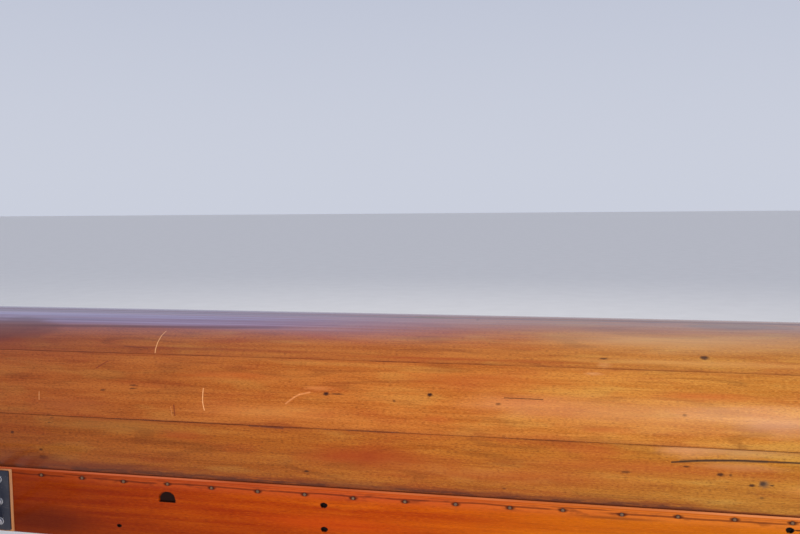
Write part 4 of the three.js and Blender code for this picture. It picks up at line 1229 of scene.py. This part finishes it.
decks = {
    "start": 3.412, "thick": 0.004, "crown": 0.011, "strip": 0.028, "stripThick": 0.0035,
    "bead": [(0.3, 7.0), (3.0, 6.6), (4.8, 3.0), (4.6, -2.4), (2.0, -4.6), (-5.2, -4.6), (-6.6, -3.0), (-6.6, -0.6),
             (0.3, -0.6)],  # outline of the sheer bead, out and up from the planking's edge, in mm
    "bulkhead": (3.400, 3.410), "hatch": 0.042, "hatchHigh": 0.007, "hatchSink": 0.003, "hatchAt": (0.085, 1.010),
    "hatchBar": (0.023, 0.0035),
}
splash = {"low": 0.858, "point": 3.900, "root": 3.430, "thick": 0.008, "curve": 0.96, "lift": 0.010, "lean": 0.006,
          "horn": 0.030, "hornEnd": 0.12, "spineLong": 0.024, "spineHalf": 0.007, "foot": (0.002, 0.0022)}


def deckHalf(x):
    return widthAt(x, edge + 0.0001, skin) - 0.0006


def deckUnder(x, y):
    half = max(1e-4, deckHalf(x))
    return edge - decks["crown"] * (half / hull["halfBeam"]) * (1 - (y / half) ** 2)


def barLine(half, top, low, across, up):  # outline of a bar with its two lower corners taken off
    return [(-half, top), (half, top), (half, low + up), (half - across, low), (across - half, low), (-half, low + up)]


def bulkheadLine(x):  # the outline that fits inside the planking, open at the keel for the keelson
    inset = skin + hull["gap"]
    half = [(widthAt(x, z, inset), z) for z in spread(edge + decks["thick"] + 0.002, 1.085, 14)]
    top = [hullPoint(x, share, 1, inset) for share in spread(0.36, 0.05, 10)]
    half += [(p.y, p.z) for p in top if p.z > 1.088]
    return half + [(-y, z) for y, z in reversed(half)]


def addDecks():
    v = decks
    for name, tip in (("stern", hull["stern"] + 0.001), ("bow", hull["bow"] - 0.001)):
        end = 1 if tip > 0 else -1
        start = end * v["start"]

        def place(u, w):
            x = start + (tip - start) * u
            y = deckHalf(x) * (2 * w - 1)
            return Vector((x, y, deckUnder(x, y)))

        def stripLine(x):
            half = min(v["strip"] / 2, deckHalf(x) * 0.8)
            return barLine(half, deckUnder(x, half) + 0.0002, deckUnder(x, 0) - v["stripThick"], 0.002, 0.0012)

        def beadLine(x):
            return [(edgeY(x) + out / 1000, edge + up / 1000) for out, up in v["bead"]]

        sheet = gridSheet(120, 22, place, lambda u, w: ((tip - start) * u, (2 * w - 1) * 0.25), "cloth")
        if end > 0:
            sheet.data.flip_normals()
        modify(sheet, "SOLIDIFY", thickness=v["thick"], offset=-1.0)
        seat(sheet, f"{name}_deck_skin", "deck_cloth", deckCloth, 50, f"{name}_deck")
        stripStart = splash["point"] + 0.004 if end > 0 else start
        strip = alongGrain(swept(spread(stripStart, tip, 40), stripLine))
        seat(strip, f"{name}_deck_king_strip", "frame_wood", panelWood, 40, f"{name}_deck")
        beads = [alongGrain(swept(spread(end * (boards["end"] + 0.004), tip, 60), beadLine, side)) for side in both]
        seat(joined(beads), f"{name}_sheer_beads", "frame_wood", panelWood, 50, f"{name}_end_planking")
        panel = soften(swept([end * x for x in v["bulkhead"]], bulkheadLine), 0.0008, 1)
        storeGrain(panel, lambda co: (co.y, co.z, co.x))
        seat(panel, f"{name}_bulkhead_panel", "frame_wood", panelWood, 30, f"{name}_bulkhead")
        face, (y, z), (dy, dz) = end * v["bulkhead"][0], v["hatchAt"], v["hatchBar"]
        high, sink = end * v["hatchHigh"], end * v["hatchSink"]
        cover = rod((face, y, z), (face - high, y, z), v["hatch"], 48, 0.002)
        pickFaces(cover, lambda part: part.normal.x * end < -0.9)
        bpy.ops.mesh.inset(thickness=v["hatchHigh"])
        bpy.ops.mesh.extrude_region_move(TRANSFORM_OT_translate={"value": (sink, 0, 0)})
        endEdit()
        bar = block((face - high - end * 0.0005, y - dy, z - dz), (face - sink, y + dy, z + dz), 0.0015)
        seat(joined([cover, bar]), f"{name}_bulkhead_hatch", "frame_wood", blackPlastic, 40, f"{name}_bulkhead")
    print("decks are closed")


def addSplashboard():
    v = splash
    root, point, low0, thick = v["root"], v["point"], v["low"], v["thick"]
    rootHalf = edgeY(root) - skin - 0.004
    footIn, footUp = v["foot"]
    wings = []
    for side in both:
        rings = []
        for t in spread(0, 1, 24):
            x = root + (point - root) * t
            y = side * rootHalf * (1 - t) ** v["curve"]
            low = low0 + v["lift"] * (1 - t) + v["horn"] * max(0, 1 - t / v["hornEnd"]) ** 2
            lean = v["lean"] * (1 - t)
            roof = deckUnder(x, min(abs(y), deckHalf(x))) - 0.0004
            rings.append([Vector((x - dx, y + side * dy, z)) for dx, dy, z in (
                (0.0, lean, low + footUp), (footIn, lean, low), (thick * 1.6, -thick + lean, low),
                (thick * 1.8, -thick + lean, low + footUp), (thick * 1.8, -thick, roof), (0.0, 0.0, roof))])
        wings.append(alongGrain(lofted(rings), (1, -side * 0.45, 0)))
    half, top = v["spineHalf"], deckUnder(point, 0) - 0.0004
    spine = block((point - v["spineLong"], -half, low0), (point, half, top), 0.002, 3)
    wings.append(alongGrain(spine, upward))
    seat(joined(wings), "splashboard_wings", "varnished_board", panelWood, 35, "splashboard")
    print("splashboard is up")


addDecks()
addSplashboard()


# The two ends: stem and ball, stern post, fin, rudder and yoke

ends = {
    "stem": 0.028, "ball": 0.022, "ballX": 6.478, "ballZ": 0.975, "post": -6.386, "hinge": -6.398,
    "gudgeons": (0.945, 1.010), "gudgeonHigh": 0.014, "eye": 0.009, "bore": 0.0046, "armHalf": 0.006,
    "flange": (0.010, -0.012, 0.026), "screw": (0.0026, 0.0018), "screwsAt": (-0.007, 0.021), "finX": -3.150,
    "finHalf": 0.002, "fin": [(-0.055, 0), (0.055, 0), (0.020, 0.063), (-0.034, 0.067)],
}
rudder = {  # the blade's outline is measured from its front edge, the yoke's from the hinge
    "front": 0.012, "bladeHalf": 0.004, "taper": 0.55, "bladeLong": 0.090, "rod": 0.004, "rodZ": (0.884, 1.080),
    "blade": [(0, 0.925), (0, 1.150), (-0.030, 1.158), (-0.084, 1.110), (-0.090, 1.060), (-0.040, 0.925)],
    "straps": ((0.970, 0.990), (1.040, 1.060)), "strapHalf": 0.0052, "strapLong": 0.030, "rivet": (0.0022, 0.0014),
    "rivetsAt": (0.008, 0.022), "yoke": [(-0.012, -0.020), (-0.007, -0.125), (0.007, -0.125), (0.012, -0.020),
                                         (0.012, 0.020), (0.007, 0.125), (-0.007, 0.125), (-0.012, 0.020)],
    "yokeZ": (0.888, 0.896), "holes": [(0, 0.0043), (0.115, 0.003), (-0.115, 0.003)],
}


def endBlock(x0, x1):
    points, _ = hullSection(x0)
    half = [*points[::4], points[-1]]
    outline = [(-y, z) for y, z in reversed(half[1:])] + half
    rings = []
    for t in spread(0, 1, 8):
        shrink, drop, foot = 1 - 0.45 * t ** 1.6, 1 - 0.10 * t * t, edge + 0.004 * t
        rings.append([Vector((x0 + (x1 - x0) * t, y * shrink, foot + (z - edge) * drop)) for y, z in outline])
    return storeGrain(soften(lofted(rings), 0.0015, 2, 50), lambda co: (co.z, co.y, co.x))


def addEnds():
    v, hinge, post = ends, ends["hinge"], ends["post"]
    stemEnd = hull["bow"] + v["stem"]
    seat(endBlock(hull["bow"] + 0.0003, stemEnd), "stem_block", "cedar", panelWood, 50, "stem")
    deselectAll()
    bpy.ops.mesh.primitive_uv_sphere_add(segments=40, ring_count=24, radius=v["ball"],
                                         location=(v["ballX"], 0, v["ballZ"]))
    ball = settle(bpy.context.object)
    cutOff(ball, (stemEnd + 0.0003, 0, 0), (-1, 0, 0))
    seat(soften(ball, 0.0012, 2, 50), "bow_ball_rubber", "ball_rubber", whiteRubber, 60, "bow_ball")

    seat(endBlock(hull["stern"] - 0.0003, post), "stern_post_block", "frame_wood", frameWood, 50, "stern_post")
    rings, screw, arm, (wide, down, up) = [], domeBolt(*v["screw"]), v["armHalf"], v["flange"]
    for z in v["gudgeons"]:
        top = z + v["gudgeonHigh"]
        eye = rod((hinge, 0, z), (hinge, 0, top), v["eye"], 28, 0.001)
        neck = block((hinge + 0.004, -arm, z), (post + 0.006, arm, top), 0.0012)
        rings.append(carve(joined([eye, neck]), [rod((hinge, 0, z - 0.005), (hinge, 0, z + 0.02), v["bore"], 24)]))
        rings.append(plate(card(-wide, z + down, wide, z + up, 0.004), post - 0.0016, post + 0.003, "X", 0.0006))
        rings += placed(screw, [((post - 0.0016, 0, z + dz), (-1, 0, 0)) for dz in v["screwsAt"]])
    seat(joined(rings), "stern_post_gudgeons", "bronze", castBronze, 40, "stern_post")
    discard(screw)

    x = v["finX"]
    keel = max(hullSection(x + dx)[0][0][1] for dx, _ in v["fin"][:2]) + 0.0002
    outline = [(x + dx, keel + dz) for dx, dz in v["fin"]]
    fin = plate(rounded(outline, 0.008, 6), -v["finHalf"], v["finHalf"], "Y", 0.0014, 3)
    seat(fin, "keel_fin", "dark_steel", alloy, 40, "fin")
    print("ends are shaped")


def addRudder():
    v, hinge, flat = rudder, ends["hinge"], rudder["strapHalf"]
    front = hinge - v["front"]
    outline = [(front + x, z) for x, z in v["blade"]]
    blade = plate(rounded(outline, 0.016, 6), -v["bladeHalf"], v["bladeHalf"], "Y", 0.0022, 3)
    for vertex in blade.data.vertices:  # thinner toward the trailing edge
        vertex.co.y *= 1 - v["taper"] * min(1, max(0, (front - vertex.co.x) / v["bladeLong"]))
    seat(alongGrain(blade, upward), "rudder_blade", "rudder_wood", rudderWood, 40, "rudder", body="rudder")
    parts = [rod(*((hinge, 0, z) for z in v["rodZ"]), v["rod"], 20, 0.0008)]
    rivet = domeBolt(*v["rivet"])
    for low, high in v["straps"]:
        parts.append(plate(card(front - v["strapLong"], low, hinge + 0.002, high, 0.006), -flat, flat))
        parts += placed(rivet, [((front - dx, side * flat, (low + high) / 2), (0, side, 0))
                                for dx in v["rivetsAt"] for side in both])
    discard(rivet)
    seat(joined(parts), "rudder_hangings", "bronze", castBronze, 40, "rudder", body="rudder")
    yoke = plate(rounded([(hinge + x, y) for x, y in v["yoke"]], 0.007, 5), *v["yokeZ"], "Z", 0.0016, 3)
    holes = [rod((hinge, y, 0.880), (hinge, y, 0.900), radius, 20) for y, radius in v["holes"]]
    seat(carve(yoke, holes), "rudder_yoke_bar", "bronze", castBronze, 40, "rudder_yoke", body="rudder")
    print("rudder is hung")


addEnds()
addRudder()


# Framing inside the planking: keelson, ribs and inwales

framing = {
    "keelsonHalf": 0.015, "keelsonDeep": 0.025, "keelsonEnd": 3.500, "ribWide": 0.012, "ribDeep": 0.015,
    "ribLow": 0.9456, "grainZ": 0.9, "grainRadius": 0.26,
    "lightWide": 0.010, "lightDeep": 0.005, "lightGap": 0.2283, "lightEnd": 3.35, "others": (-2.450, -3.250, 3.300),
    "inwaleWide": 0.018, "inwaleTop": 0.945, "inwaleLow": 0.895, "inwaleEnd": 3.400,
}


def keelsonTop(x):
    return hullPoint(x, 0.036, 1, skin + hull["gap"]).z


def betweenInwales(*xs):  # half the room across the boat at the narrowest of some places
    return min(edgeY(x) for x in xs) - skin - framing["inwaleWide"] - 0.0012


def girthShare(x, z):  # how far round the section a height lies
    points, lengths = hullSection(x)
    for i in range(1, len(points)):
        if points[i][1] <= z:
            return lengths[i] / lengths[-1]
    return 1.0


def rib(x, wide, deep):
    last = girthShare(x, framing["ribLow"])
    outer = skin + hull["gap"]
    soft = min(0.0022, deep * 0.4) / deep
    half, trim = wide / 2, soft * deep
    rings = []
    for share in spread(-last, last, 56):
        a, b = (hullPoint(x, abs(share), -1 if share < 0 else 1, inset) for inset in (outer, outer + deep))
        if abs(share) < 1e-6:
            a.y = b.y = 0
        inner = a.lerp(b, 1 - soft)
        rings.append([Vector((x + dx, p.y, p.z)) for dx, p in (
            (-half, a), (half, a), (half, inner), (half - trim, b), (trim - half, b), (-half, inner))])
    centre, radius = framing["grainZ"], framing["grainRadius"]  # the grain bends with the rib
    return storeGrain(lofted(rings), lambda co: (
        math.atan2(co.y, co.z - centre) * radius, co.x, math.hypot(co.y, co.z - centre)))


def addFraming():
    v = framing
    nodes = [f"keelson_and_ribs_{bay}" for bay in ("stern", "middle", "bow")]
    ribXs = [pinX + end * rigging["reach"] for _, pinX, _ in rigging["seats"] for end in both] + list(v["others"])
    steps = int(v["lightEnd"] / v["lightGap"])
    lightXs = [n * v["lightGap"] + 0.03 for n in range(-steps, steps + 1)]
    lightXs = [x for x in lightXs if min(abs(x - other) for other in ribXs) > 0.05]
    for name, xs, wide, deep in (("main", ribXs, "ribWide", "ribDeep"), ("light", lightXs, "lightWide", "lightDeep")):
        seat(joined([rib(x, v[wide], v[deep]) for x in xs]), f"{name}_ribs", "frame_wood", frameWood, 50, *nodes)

    def keelsonLine(x):
        top = keelsonTop(x)
        return barLine(v["keelsonHalf"], top, top - v["keelsonDeep"], 0.003, 0.003)

    def inwaleLine(x):
        out, top, low = edgeY(x) - skin - hull["gap"], v["inwaleTop"], v["inwaleLow"]
        inn = out - v["inwaleWide"]
        return [(out, top), (out, low + 0.0015), (out - 0.0015, low), (inn + 0.005, low), (inn + 0.0014, low + 0.0014),
                (inn, low + 0.005), (inn, top - 0.005), (inn + 0.0014, top - 0.0014), (inn + 0.005, top)]

    keelson = alongGrain(swept(spread(-v["keelsonEnd"], v["keelsonEnd"], 56), keelsonLine))
    seat(keelson, "keelson", "frame_wood", frameWood, 40, *nodes)
    for hand, side in hands.items():
        rail = alongGrain(swept(spread(-v["inwaleEnd"], v["inwaleEnd"], 56), inwaleLine, side))
        seat(rail, f"{hand}_inwale_rail", "frame_wood", frameWood, 40, f"{hand}_inwale")
    print("framing is in")


# Seats: tracks on bearers, a wheeled carriage and a hollowed top

slides = {
    "trackZ": 0.975, "gauge": 0.140, "start": -0.040, "end": 0.700, "bearers": (-0.020, 0.330, 0.672), "rest": 0.300,
    "wheel": 0.016, "wheelHalf": 0.005, "wheelZ": 0.9557, "carriageZ": 0.921, "axle": 0.004, "axleX": 0.070,
    "topThick": 0.016, "hollow": 0.0085, "hollowX": 0.020, "hollowY": 0.062, "hollowLong": 0.072, "hollowWide": 0.062,
    "voxel": 0.0032, "bearerWide": 0.016, "trackScrews": (-0.012, 0.180, 0.330, 0.500, 0.672),
    "axleHalf": 0.148, "strap": (0.008, 0.112, 0.010), "spacer": 0.0072, "spacersY": (-0.1475, -0.1335, 0.1335, 0.1475),
    "sideY": 0.111, "screw": (0.0034, 0.0016), "screwY": 0.09,
}


def bearer(x, zs, centre, high):  # a cross timber that fits between the sides of the planking
    room = min(widthAt(x + end * 0.008, z, skin + hull["gap"]) for end in both for z in zs)
    return stick((x, -room, centre), (x, room, centre), slides["bearerWide"], high)


def addTracks():
    v = slides
    z = v["trackZ"]
    screw = rod((0, 0, -0.0006), (0, 0, 0.00015), 0.0038, 18)
    section = [(-0.014, z + 0.001), (0.014, z + 0.001), (0.014, z - 0.009), (0.011, z - 0.009), (0.011, z - 0.003),
               (-0.011, z - 0.003), (-0.011, z - 0.009), (-0.014, z - 0.009)]
    for number, pinX, _ in rigging["seats"]:
        woods = [bearer(pinX + dx, (z, z + 0.022), z + 0.0112, 0.0216) for dx in v["bearers"]]
        metals, spots, start, end = [], [], pinX + v["start"], pinX + v["end"]
        for y in (-v["gauge"], v["gauge"]):
            metals.append(plate([(y + a, b) for a, b in section], start, end, "X", 0.0006, 1))
            metals += [block((x, y - 0.012, z - 0.009), (x + 0.006, y + 0.012, z - 0.002), 0.0015)
                       for x in (start, end - 0.006)]
            spots += [((pinX + dx, y, z - 0.003), (0, 0, -1)) for dx in v["trackScrews"]]
        metals += placed(screw, spots)
        seat(joined(woods), f"seat_bearers_{number}", "frame_wood", frameWood, 40, f"seat_tracks_{number}")
        seat(joined(metals), f"seat_rails_{number}", "alloy", alloy, 40, f"seat_tracks_{number}")
    discard(screw)


def seatTop():
    v = slides
    top = copyOf(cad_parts["seat_top_1"], Matrix.Translation((-rigging["seats"][0][1] - v["rest"], 0, 0)))
    editAll(top)
    bpy.ops.mesh.remove_doubles(threshold=1e-5)
    facesOut()
    modify(top, "REMESH", mode="VOXEL", voxel_size=v["voxel"])
    modify(top, "SMOOTH", factor=0.5, iterations=4)
    high = v["carriageZ"] - 0.0003
    for vertex in top.data.vertices:  # hollows for the sit bones on the lower face, deepest round the two holes
        x, y, z = vertex.co
        off = [math.hypot((x - v["hollowX"]) / v["hollowLong"], (y - side * v["hollowY"]) / v["hollowWide"])
               for side in both]
        dish = math.exp(-min(off) ** 2)
        rim = max(0.0, (x + 0.070) / -0.035) * 0.25
        vertex.co.z = z + (high - z) / v["topThick"] * v["hollow"] * (dish - rim * 0.2)
    modify(top, "SMOOTH", factor=0.5, iterations=3)
    squeeze = v["topThick"] / (high - min(vertex.co.z for vertex in top.data.vertices))
    for vertex in top.data.vertices:
        vertex.co.z = min(high, high - (high - vertex.co.z) * squeeze)
    return alongGrain(top, (0, 1, 0))


def wheel(x, y):
    v = slides
    disc = rod((x, y - v["wheelHalf"], v["wheelZ"]), (x, y + v["wheelHalf"], v["wheelZ"]), v["wheel"], 40, 0.0022)
    for side in both:
        pickFaces(disc, lambda face: face.normal.y * side > 0.9)
        for thickness, depth in ((0.0035, 0), (0.0008, -0.0016), (0.0030, 0), (0.0006, 0.0014)):
            bpy.ops.mesh.inset(thickness=thickness, depth=depth)
        endEdit()
    return disc


def addSeats():
    v = slides
    top = seatTop()
    base, wheelZ, (strapX, strapY, strapHigh) = v["carriageZ"], v["wheelZ"], v["strap"]
    metals, wheels = [], []
    for x in (-v["axleX"], v["axleX"]):
        metals.append(rod((x, -v["axleHalf"], wheelZ), (x, v["axleHalf"], wheelZ), v["axle"], 20, 0.001))
        strap = card(x - strapX, -strapY, x + strapX, strapY, 0.003)
        metals.append(plate(strap, base, base + strapHigh, "Z", 0.0012))
        wheels += [wheel(x, y) for y in (-v["gauge"], v["gauge"])]
        for y in v["spacersY"]:
            metals.append(rod((x, y - 0.0012, wheelZ), (x, y + 0.0012, wheelZ), v["spacer"], 24, 0.0005))
    z0, z1 = base + 0.0002, wheelZ + 0.006
    half = [(0.084, z0), (0.084, z1 - 0.002), (0.078, z1), (0.060, z1), (0.048, z0 + 0.016)]
    outline = rounded([(-0.084, z0), *half, *((-x, z) for x, z in half[:0:-1])], 0.006, 3)
    for y in (-v["sideY"], v["sideY"]):
        metals.append(plate(outline, y - 0.005, y + 0.005, "Y", 0.0015))
    screw, screwZ = domeBolt(*v["screw"]), base + strapHigh - 0.0002
    metals += placed(screw, [((a * v["axleX"], b * v["screwY"], screwZ), upward) for a in both for b in both])
    metals, wheels = joined(metals), joined(wheels)
    for number, pinX, _ in rigging["seats"]:
        move = Matrix.Translation((pinX + v["rest"], 0, 0))
        for piece, name, slotName, material, smooth, node in (
                (metals, "frame", "alloy", alloy, 40, "carriage"),
                (wheels, "wheels", "alloy", blackPlastic, 40, "carriage"),
                (top, "board", "varnished_board", panelWood, 60, "top")):
            seat(copyOf(piece, move), f"seat_{name}_{number}", slotName, material, smooth, f"seat_{node}_{number}",
                 body=f"seat_{number}")
    discard(screw, metals, wheels, top)
    print("seats are on their tracks")


# Foot stretchers: board, heel cups, straps, chock and bar

stretchers = {
    "heel": -0.385, "toe": -0.600, "toeZ": 0.932, "half": 0.105, "thick": 0.010, "bar": (-0.004, 0.020, 0.928, 0.944),
    "shoeY": 0.055, "strapAt": 0.60, "strapWide": 0.028, "strapThick": 0.0022, "strapHalf": 0.046, "strapHigh": 0.040,
    "cup": 0.034, "cupAt": 0.046, "cupHigh": 0.026, "cupThick": 0.0014, "nut": (0.0062, 0.0060, 0.0030),
    "nutIn": 0.049, "chock": (-0.014, 0.022, 0.014, 0.026),
}


def addStretchers():
    v = stretchers
    nut = hexNut(*v["nut"])
    for number, pinX, _ in rigging["seats"]:
        heelX, toeX = pinX + v["heel"], pinX + v["toe"]
        heelZ = min(keelsonTop(heelX - 0.02), keelsonTop(heelX + 0.02)) - framing["keelsonDeep"] - 0.0008
        low, high = Vector((heelX, 0, heelZ - 0.012)), Vector((toeX, 0, v["toeZ"]))
        run = high - low
        turn = Matrix.Translation(low) @ facing(run, Vector((run.z, 0, -run.x)) * math.copysign(1, -run.z))
        board = plate(card(0, -v["half"], run.length, v["half"], 0.022, 6), 0, v["thick"], "Z", 0.0016)
        alongGrain(board, (0, 1, 0)).data.transform(turn)
        x0, x1, half, deep = v["chock"]
        chock = block((heelX + x0, -half, heelZ - deep), (heelX + x1, half, heelZ), 0.002)
        x0, x1, z0, z1 = v["bar"]
        half = betweenInwales(toeX + x0, toeX + x1)
        bar = block((toeX + x0, -half, z0), (toeX + x1, half, z1), 0.0024)
        woods = [board, alongGrain(chock), alongGrain(bar, (0, 1, 0))]
        node = f"foot_stretcher_{number}"
        seat(joined(woods), f"stretcher_boards_{number}", "frame_wood", panelWood, 40, node)
        straps, cups, strapX, wide = [], [], run.length * v["strapAt"], v["strapWide"] / 2
        for y in (-v["shoeY"], v["shoeY"]):
            rings = []  # a leather strap over each foot
            for t in spread(0, 1, 18):
                a = y - v["strapHalf"] * math.cos(math.pi * t)
                b = -0.0002 - v["strapHigh"] * math.sin(math.pi * t) ** 0.8
                rings.append([turn @ Vector((strapX + dx, a, b + db)) for dx, db in (
                    (-wide, 0), (wide, 0), (wide, -v["strapThick"]), (-wide, -v["strapThick"]))])
            straps.append(soften(lofted(rings), 0.0006, 1, 50))
            rings = []  # a bent metal cup behind each heel
            for t in spread(0, 1, 16):
                angle = math.pi * (1 + t)
                a, b = v["cupAt"] + v["cup"] * math.sin(angle), v["cup"] * math.cos(angle)
                rings.append([turn @ Vector((a + grow, y + b * (1 + grow * 20), lift)) for grow, lift in (
                    (0, 0.0006), (0, -v["cupHigh"]), (v["cupThick"], -v["cupHigh"]), (v["cupThick"], 0.0006))])
            cups.append(soften(lofted(rings), 0.0004, 1, 50))
            nutAt = Vector((strapX, y - math.copysign(v["nutIn"], y), 0))
            cups += placed(nut, [(turn @ nutAt, -(turn.to_3x3() @ Vector(upward)))])
        cups += placed(nut, [((toeX + 0.008, end * (half - 0.020), z0), (0, 0, -1)) for end in both])
        seat(joined(straps), f"stretcher_straps_{number}", "frame_wood", leather, 50, node)
        seat(joined(cups), f"stretcher_heel_cups_{number}", "alloy", alloy, 45, node)
    discard(nut)
    print("stretchers are in")


# Cox's seat and back

cox = {"panel": (-3.010, -2.720), "half": 0.170, "low": 0.951, "high": 0.961, "bearers": (-2.745, -2.985),
       "bearerHigh": 0.020, "back": ((-3.052, 0.955), (-3.112, 0.850)), "backHalf": 0.150, "backThick": 0.010,
       "bar": (-3.112, -3.088, 0.900, 0.914)}


def addCoxSeat():
    v = cox
    x0, x1 = v["panel"]
    panel = plate(card(x0, -v["half"], x1, v["half"], 0.030, 6), v["low"], v["high"], "Z", 0.0018, 3)
    parts = [alongGrain(panel, (0, 1, 0))]
    zs = v["high"] - 0.001, v["high"] + v["bearerHigh"] - 0.001
    parts += [bearer(x, zs, sum(zs) / 2, v["bearerHigh"]) for x in v["bearers"]]
    low, high = (Vector((x, 0, z)) for x, z in v["back"])
    run = high - low
    outline, low0 = card(0, -v["backHalf"], run.length, v["backHalf"], 0.035, 8), -0.0005
    back = plate(outline, low0, low0 + v["backThick"], "Z", 0.0022, 3)
    alongGrain(back, (0, 1, 0))
    back.data.transform(Matrix.Translation(low) @ facing(run, (-1, 0, 0)))
    x0, x1, z0, z1 = v["bar"]
    half = betweenInwales(x0, x1)
    bar = alongGrain(block((x0, -half, z0), (x1, half, z1), 0.0024), (0, 1, 0))
    seat(joined(parts), "cox_seat_board", "varnished_board", panelWood, 40, "cox_seat")
    seat(joined([back, bar]), "cox_back_board", "varnished_board", panelWood, 40, "cox_backrest")
    print("cox's seat is in")


addFraming()
addTracks()
addSeats()
addStretchers()
addCoxSeat()
